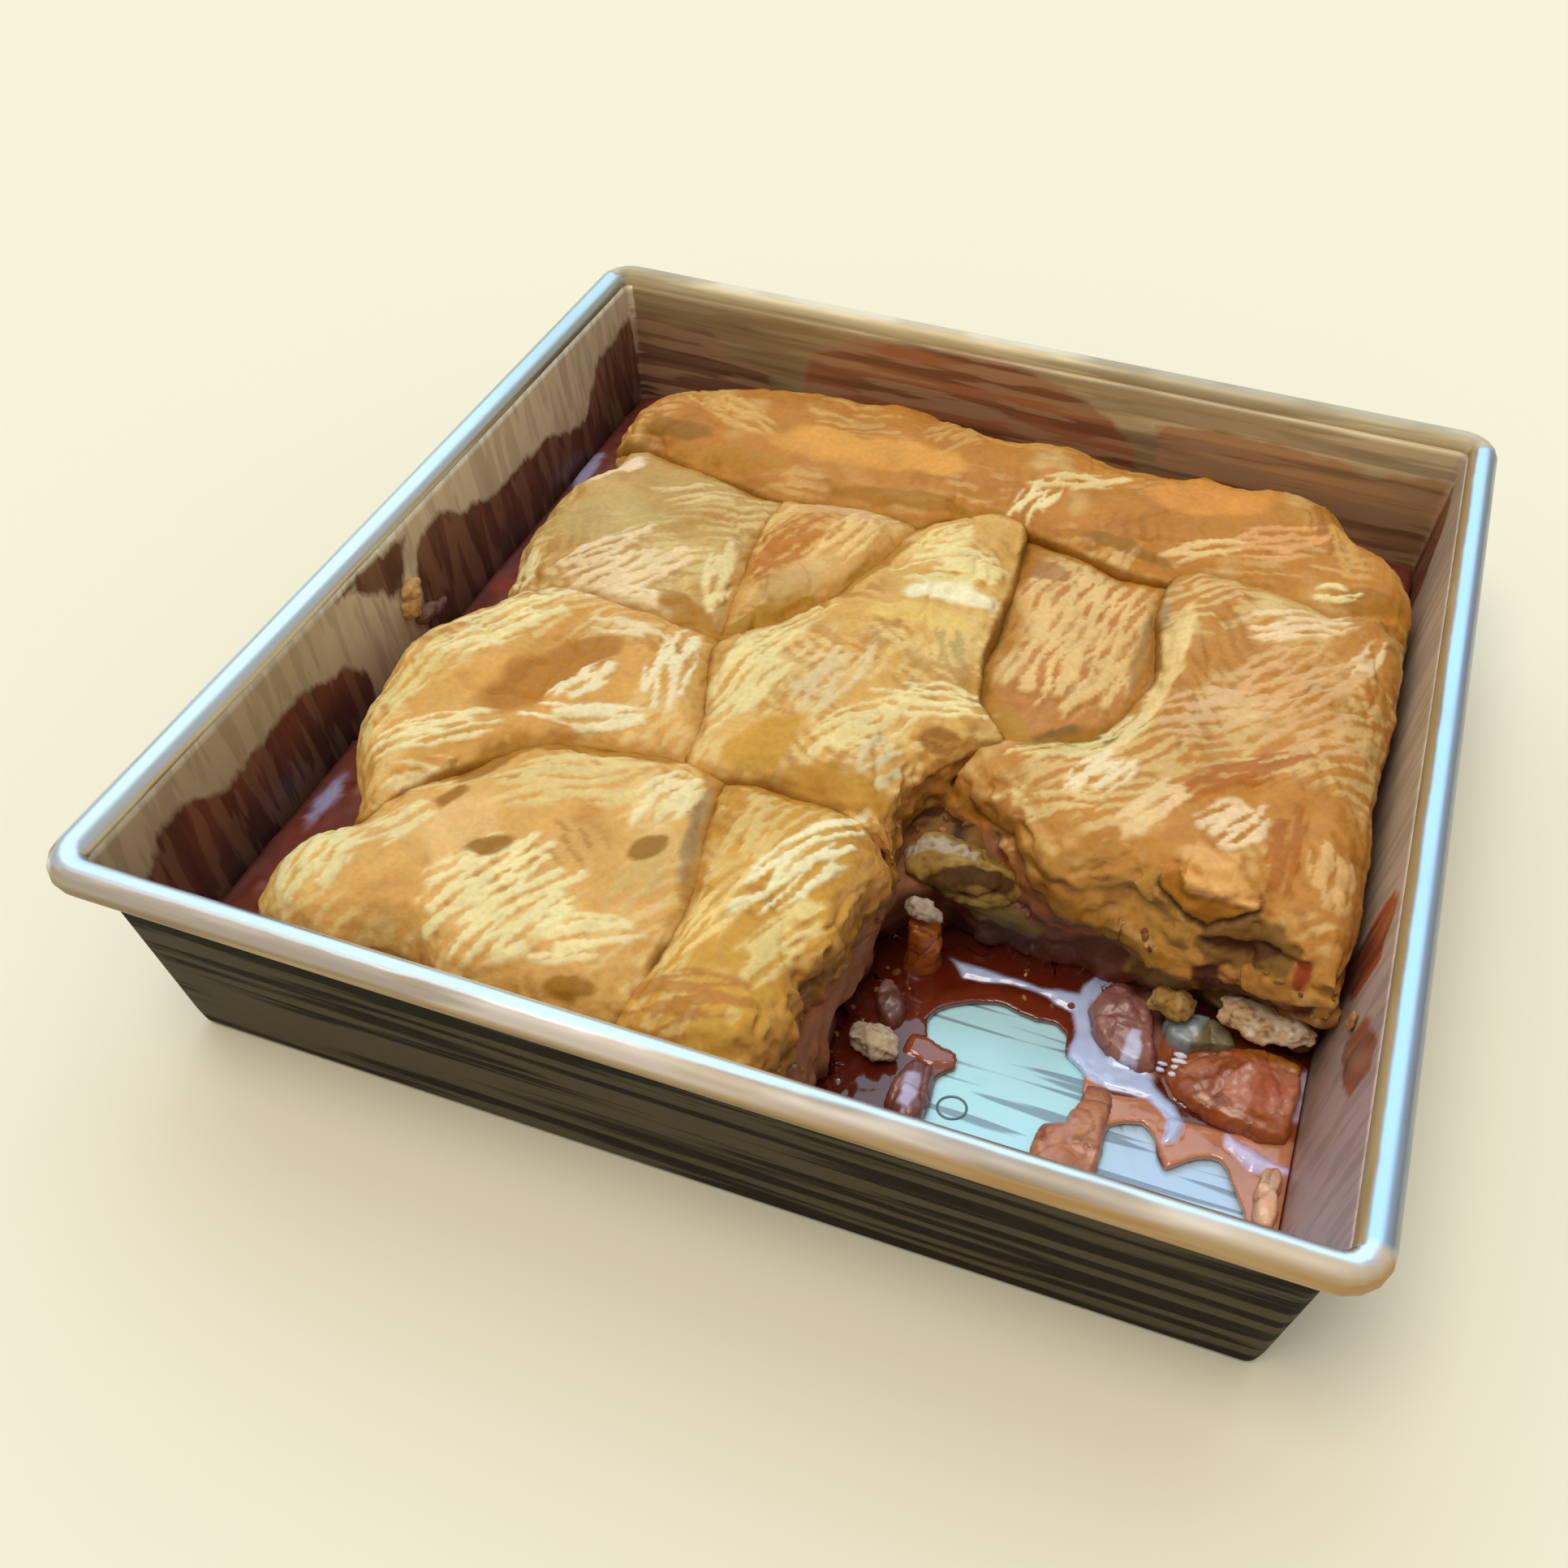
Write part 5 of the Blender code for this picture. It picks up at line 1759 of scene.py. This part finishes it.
@dataclass
class SmallPieces:
    """The peach slices and the broken bits of crust in the hollow."""

    voxel: float = 0.45
    smoothing: int = 2
    slice_foot: float = 1.4
    right_wall: float = 109.4
    mound_middle: float = 30.0
    mound_top: float = 23.0
    slice_finish: FoodFinish = STEWED_PEACH
    fragment_finish: FoodFinish = BROKEN_CRUMB

    def build_slice(self, look: PieceTone, material: bpy.types.Material) -> None:
        """Builds and dresses a slice: slack and ragged, its foot spread into the syrup.

        Args:
            look: its node and tones.
            material: the slices' material.
        """
        name = look.node.replace("peach_slice", "stewed_slice")
        made, points, normals = fine_copy(look.node, name, self.voxel, self.smoothing)
        z = points[:, 2]
        ribs = value_noise(points / (6.0, 1.8, 6.0), 425)
        bent = points / 10 + 0.2 * rough_noise(points / 5, 427)[:, None]
        facet, beside, pick = cell_distances(bent, 433)
        foot = fade(z, 5.0, 2.9)
        lift = 0.7 * rough_noise(points / 6, 411) + 0.3 * rough_noise(points / 1.8, 421) + 0.2 * ribs
        lift += 0.9 * (0.5 - facet) - 0.25 * fade(beside - facet, 0.08, 0.0)
        lift += 0.9 * foot * fade(np.abs(normals[:, 2]), 0.8, 0.3)
        moved = points + normals * lift[:, None]
        moved[:, 2] = np.maximum(moved[:, 2] - foot, self.slice_foot)
        moved[:, 0] = np.minimum(moved[:, 0], self.right_wall)
        write_points(made.data, moved)
        wander = 0.7 * rough_noise(points / 3, 405)
        shade = paint(
            plain(look.tone, points),
            (look.patch, fade(rough_noise(points / 5, 401), -0.1, 0.4) * 0.9),
            *((mark.tone, mark.cover(points[:, :2], wander, 0.5) * 0.85) for mark in look.marks),
            (look.patch, fade(ribs, 0.2, 0.6) * 0.3),
            # Painted shade in the grooves between facets
            ("#7a3818", fade(beside - facet, 0.07, 0.0) * 0.5),
        )
        # Each facet a little lighter or darker at random, and painted shade darkening the foot
        shade = paint(shade * (0.86 + 0.3 * pick)[:, None], ("#7e3016", fade(z, 5.0, 3.4) * 0.55))
        store(made.data, tone=shade)
        finish_piece(made, "peach", material, look.node)

    def build_fragment(self, look: PieceTone, material: bpy.types.Material) -> None:
        """Builds and dresses a broken bit of crust.

        Args:
            look: its node and tones.
            material: the bits' material.
        """
        name = look.node.replace("crust_fragment", "broken_crust")
        made, points, normals = fine_copy(look.node, name, self.voxel, self.smoothing)
        hole = fade(cell_distances(points / 2.2, 451)[0], 0.4, 0.1)
        lift = 1.1 * rough_noise(points / 3.6, 431) + 0.35 * rough_noise(points / 1.1, 441) - 0.6 * hole
        moved = points + normals * lift[:, None]
        if look.node == "crust_fragment_mound":
            moved += normals * (1.0 + 1.5 * rough_noise(points / 6, 447))[:, None]
            moved[:, 0] += 0.2 * (moved[:, 0] - self.mound_middle)
            moved[:, 2] += 0.22 * (self.mound_top - moved[:, 2])
        write_points(made.data, moved)
        wander = 0.9 * rough_noise(points / 2.5, 471)
        shade = paint(
            plain(look.tone, points),
            (look.patch, fade(rough_noise(points / 3, 461), -0.1, 0.4)),
            *((mark.tone, mark.cover(points[:, :2], wander, 0.6) * 0.9) for mark in look.marks),
            # Painted shade in the pits
            ("#6a4422", hole * 0.6),
        )
        store(made.data, tone=shade)
        finish_piece(made, "crust", material, look.node)

    def build(self) -> None:
        """Builds and dresses them all."""
        peach = self.slice_finish.material()
        crumb = self.fragment_finish.material()
        for look in SLICE_TONES:
            self.build_slice(look, peach)
        for look in FRAGMENT_TONES:
            self.build_fragment(look, crumb)


# Crumbs, foam and dried juice


@dataclass
class Crumbs:
    """Crumbs of torn crust, scattered by Geometry Nodes over the torn slope and the edge of the syrup.

    density is how many lie on a square metre where they lie thickest. Each crumb has a random number from
    0 to 1, and other_tones gives tones with the number above which each takes over.
    """

    density: float = 120000.0
    smallest: float = 0.3
    largest: float = 1.1
    seed: int = 5
    shape_seed: int = 2
    tone_seed: int = 9
    syrup_share: float = 0.4
    tone: str = "#a8783a"
    other_tones: tuple = (("#7a4c24", 0.3), ("#c49c62", 0.6), ("#5c3018", 0.8), ("#946430", 0.92))
    finish: FoodFinish = LOOSE_CRUMB

    def ground(self) -> bpy.types.Object:
        """The upward faces near the torn edge, with how thickly the crumbs lie on them."""
        corners = []
        thickness = []
        for made in bpy.data.objects:
            if not made.name.startswith(("baked_crust", "filling_of", "syrup_on")):
                continue
            points = read_points(made.data)
            normals = read_normals(made.data)
            torn = fade(np.abs(hollow_distance(points) + 1), 9, 5) * fade(normals[:, 2], 0.2, 0.6)
            torn *= fade(value_noise(points / 7, 481), -0.1, 0.5) * fade(points[:, 2], 33, 30)
            torn *= fade(points[:, 0], 109, 108)
            if made.name.startswith("syrup_on"):
                torn *= self.syrup_share
            made.data.calc_loop_triangles()
            picked = np.empty(len(made.data.loop_triangles) * 3, int)
            made.data.loop_triangles.foreach_get("vertices", picked)
            picked = picked.reshape(-1, 3)
            picked = picked[torn[picked].min(axis=1) > 0.02].ravel()
            corners.append(points[picked])
            thickness.append(torn[picked])
        corners = np.concatenate(corners)
        mesh = bpy.data.meshes.new("crumbs_in_the_hollow")
        mesh.from_pydata(corners * MM, [], np.arange(len(corners)).reshape(-1, 3))
        store(mesh, thickness=np.concatenate(thickness))
        return put("crumbs_in_the_hollow", mesh)

    def tree(self, values: dict) -> bpy.types.NodeTree:
        """The node tree that puts lumpy crumbs on a surface.

        Args:
            values: the values of its inputs, by name.

        Returns:
            The tree.
        """
        tree, given = new_group("crumb_scatter", values)
        add = partial(add_node, tree)
        seed = given["Seed"]
        random = "FunctionNodeRandomValue"
        thickness = add("GeometryNodeInputNamedAttribute", {"Name": "thickness"}, data_type="FLOAT")
        density = add(MATHS, (given["Density"], thickness), **TIMES)
        scatter = {"Mesh": given["Geometry"], "Density": density, "Seed": seed}
        spots = add("GeometryNodeDistributePointsOnFaces", scatter, distribute_method="RANDOM")
        turns = {"Min": (0.0, 0.0, 0.0), "Max": (6.3, 6.3, 6.3), "Seed": seed}
        turn = add(random, turns, data_type="FLOAT_VECTOR")
        sizes = {2: given["Smallest"], 3: given["Largest"], "Seed": seed}
        size = add(random, sizes, take=1, data_type="FLOAT")
        stretches = {"Min": (0.6, 0.6, 0.5), "Max": (1.3, 1.0, 0.8), "Seed": self.shape_seed}
        stretch = add(random, stretches, data_type="FLOAT_VECTOR")
        scale = add("ShaderNodeVectorMath", {0: stretch, "Scale": size}, operation="SCALE")
        ball = add("GeometryNodeMeshIcoSphere", {"Radius": 1.0, "Subdivisions": 3})
        crumbs = {"Points": spots, "Instance": ball, "Rotation": turn, "Scale": scale}
        placed = add("GeometryNodeInstanceOnPoints", crumbs)
        pick = add(random, {2: 0.0, 3: 1.0, "Seed": self.tone_seed}, take=1, data_type="FLOAT")
        mark = {"Geometry": placed, "Name": "pick", "Value": pick}
        end_group(tree, add("GeometryNodeStoreNamedAttribute", mark, data_type="FLOAT", domain="INSTANCE"))
        return tree

    def build(self) -> None:
        """Scatters the crumbs and dresses them."""
        made = self.ground()
        values = {"Density": self.density, "Smallest": self.smallest * MM, "Largest": self.largest * MM}
        values["Seed"] = self.seed
        run_nodes(made, self.tree(values), values)
        points = read_points(made.data)
        rough = 0.4 * rough_noise(points / 0.8, 491)[:, None]
        write_points(made.data, points + read_normals(made.data) * rough)
        made.data.shade_flat()
        pick = np.empty(len(points))
        made.data.attributes["pick"].data.foreach_get("value", pick)
        shade = paint(plain(self.tone, points), *((tone, pick > start) for tone, start in self.other_tones))
        store(made.data, tone=shade)
        finish_piece(made, "crust", self.finish.material())


@dataclass(frozen=True)
class Drop:
    """A small lump: its place, half size and tone."""

    place: tuple
    half: tuple
    tone: str


WALL_CRUMBS = (
    Drop((-112.6, -9.5, 38.0), (1.8, 3.4, 2.6), "#d8a864"),
    Drop((-112.2, -11.0, 34.2), (1.8, 3.2, 3.0), "#d0a05c"),
    Drop((-111.6, -7.0, 29.5), (1.6, 4.0, 2.0), "#8a6458"),
    Drop((-111.4, -2.5, 28.0), (1.4, 3.4, 1.4), "#7c564c"),
    Drop((112.2, -54.5, 33.0), (0.8, 1.8, 2.4), "#b07a48"),
)

BUBBLES = (
    Drop((83.8, -52.6, 5.6), (1.5, 0.6, 0.7), "#e6e8ff"),
    Drop((84.0, -54.0, 5.3), (1.7, 0.6, 0.7), "#f0f0ff"),
    Drop((83.8, -55.4, 4.9), (1.5, 0.6, 0.7), "#e0e2ff"),
    Drop((83.4, -56.8, 4.4), (1.1, 0.6, 0.6), "#e6e8ff"),
    Drop((80.8, -54.8, 4.2), (1.1, 0.5, 0.5), "#d6daf8"),
    Drop((80.6, -56.2, 4.0), (0.9, 0.5, 0.5), "#d6daf8"),
)


@dataclass
class Splashes:
    """Bits of crust stuck to the walls, foam beside a slice, and a ring that a burst bubble left."""

    ring_place: tuple = (43.0, -77.5, 1.0)
    ring_radius: float = 2.8
    ring_width: float = 0.27
    ring_height: float = 0.22
    ring_steps: int = 64
    ring_sides: int = 10
    ring_tone: str = "#5d7480"
    crumb_finish: FoodFinish = STUCK_CRUMB
    foam_finish: FoodFinish = FOAM

    def lumps(self, name: str, drops: tuple, rough: float) -> bpy.types.Object:
        """Makes lumps with uneven skins, in one object.

        Args:
            name: the object's name.
            drops: the lumps.
            rough: how uneven their skins are.

        Returns:
            The object.
        """
        body = bmesh.new()
        shades = []
        for drop in drops:
            ball = bmesh.ops.create_icosphere(body, subdivisions=4, radius=1.0)["verts"]
            for vert in ball:
                vert.co = (Vector(a * h for a, h in zip(vert.co, drop.half)) + Vector(drop.place)) * MM
            shades.append(plain(drop.tone, ball))
        made = object_from(name, body)
        points = read_points(made.data)
        points += read_normals(made.data) * rough * rough_noise(points / 1.5, 501)[:, None]
        limit = BakingTin().inside_half(points[:, 2]) + 0.3
        points[:, 0] = np.clip(points[:, 0], -limit, limit)
        write_points(made.data, points)
        store(made.data, tone=np.concatenate(shades))
        return made

    def ring(self) -> bpy.types.Object:
        """The thin ring of dried juice on the bare floor."""
        body = bmesh.new()
        loops = []
        for turn in np.linspace(0, 2 * math.pi, self.ring_steps, endpoint=False):
            radius = self.ring_radius * (1 + 0.06 * math.sin(2 * turn + 1))
            loop = []
            for bend in np.linspace(0, 2 * math.pi, self.ring_sides, endpoint=False):
                away = radius + self.ring_width * math.cos(bend)
                up = self.ring_height * math.sin(bend)
                local = Vector((away * math.cos(turn), away * math.sin(turn), up))
                loop.append(body.verts.new((local + Vector(self.ring_place)) * MM))
            loops.append(loop)
        join_loops(body, loops + loops[:1])
        made = object_from("dried_juice_ring", body)
        store(made.data, tone=plain(self.ring_tone, made.data.vertices))
        return made

    def build(self) -> None:
        """Builds and dresses them."""
        crumb = self.crumb_finish.material()
        foam = self.foam_finish.material()
        finish_piece(self.lumps("crumbs_on_the_walls", WALL_CRUMBS, 0.7), "crust", crumb)
        finish_piece(self.lumps("foam_by_a_slice", BUBBLES, 0.15), "syrup", foam)
        finish_piece(self.ring(), "syrup", foam)


# Floor, light and camera


@dataclass
class Studio:
    """A pale floor, soft daylight from above, and the camera.

    floor_half and camera_place are in metres, lens in millimetres, and camera_turn and sun_spread in degrees.
    """

    floor_half: float = 2.6
    floor_tone: str = "#f3edd6"
    lens: float = 36.48
    shift_x: float = -0.06
    camera_place: tuple = (0.0800, -0.2517, 0.2742)
    camera_turn: tuple = (44.3706, -1.4772, 19.0462)
    window: tuple = (-0.25, 0.68, 0.69)
    sky_tones: tuple = ("#ece6da", "#cfeaff")
    sky_strengths: tuple = (0.58, 1.75)
    sun_from: tuple = (-0.15, -0.25, 1.0)
    sun_strength: float = 1.36
    sun_spread: float = 32.0
    sun_tone: str = "#fff6e8"

    def floor(self) -> None:
        """The pale floor, matt as paper."""
        body = bmesh.new()
        bmesh.ops.create_grid(body, x_segments=1, y_segments=1, size=self.floor_half)
        made = object_from("floor", body)
        paper, shader = new_material("matt_cream_paper")
        feed(shader, {"Base Color": linear(self.floor_tone), "Roughness": 0.9, "Specular IOR Level": 0.0})
        made.data.materials.append(paper)

    def sky(self) -> None:
        """Even warm light from all round, with a pale blue window's glow from behind and above."""
        world = bpy.data.worlds.new("studio")
        bpy.context.scene.world = world
        world.use_nodes = True
        add = partial(add_node, world.node_tree)
        towards = add("ShaderNodeTexCoord", take="Generated")
        window = Vector(self.window).normalized()
        near = add("ShaderNodeVectorMath", (towards, window), take="Value", operation="DOT_PRODUCT")
        glow = add(RANGE, (near, 0.7, 0.93), interpolation_type="SMOOTHSTEP")
        low, high = (linear(tone) for tone in self.sky_tones)
        light = add(MIX, {0: glow, 6: low, 7: high}, **IN_COLOUR)
        strength = add(RANGE, (glow, 0.0, 1.0, *self.sky_strengths))
        feed(world.node_tree.nodes["Background"], {"Color": light, "Strength": strength})

    def sun(self) -> None:
        """Broad, soft daylight from above, a little from the front and left."""
        light = bpy.data.lights.new("daylight", "SUN")
        light.energy = self.sun_strength
        light.angle = math.radians(self.sun_spread)
        light.color = linear(self.sun_tone)[:3]
        made = put("daylight", light)
        made.rotation_euler = (-Vector(self.sun_from)).to_track_quat("-Z", "Y").to_euler()

    def camera(self) -> None:
        """The camera, at the picture's angle."""
        data = bpy.data.cameras.new("camera")
        data.lens = self.lens
        data.sensor_width = 36
        data.shift_x = self.shift_x
        data.clip_start = 0.01
        made = put("camera", data)
        made.location = self.camera_place
        made.rotation_euler = Euler([math.radians(angle) for angle in self.camera_turn])
        bpy.context.scene.camera = made

    def build(self) -> None:
        """Sets up the whole studio."""
        self.floor()
        self.sky()
        self.sun()
        self.camera()
        bpy.context.scene.view_settings.view_transform = "Standard"


def main() -> None:
    """Builds the cobbler from the tin up, and the studio round it."""
    logging.basicConfig(level=logging.INFO, format="%(name)s: %(message)s")
    BakingTin().build()
    relief = Relief()
    Filling().build()
    SyrupPool().build()
    Crust().build(relief)
    SmallPieces().build()
    Crumbs().build()
    Splashes().build()
    Studio().build()


if __name__ == "__main__":
    main()
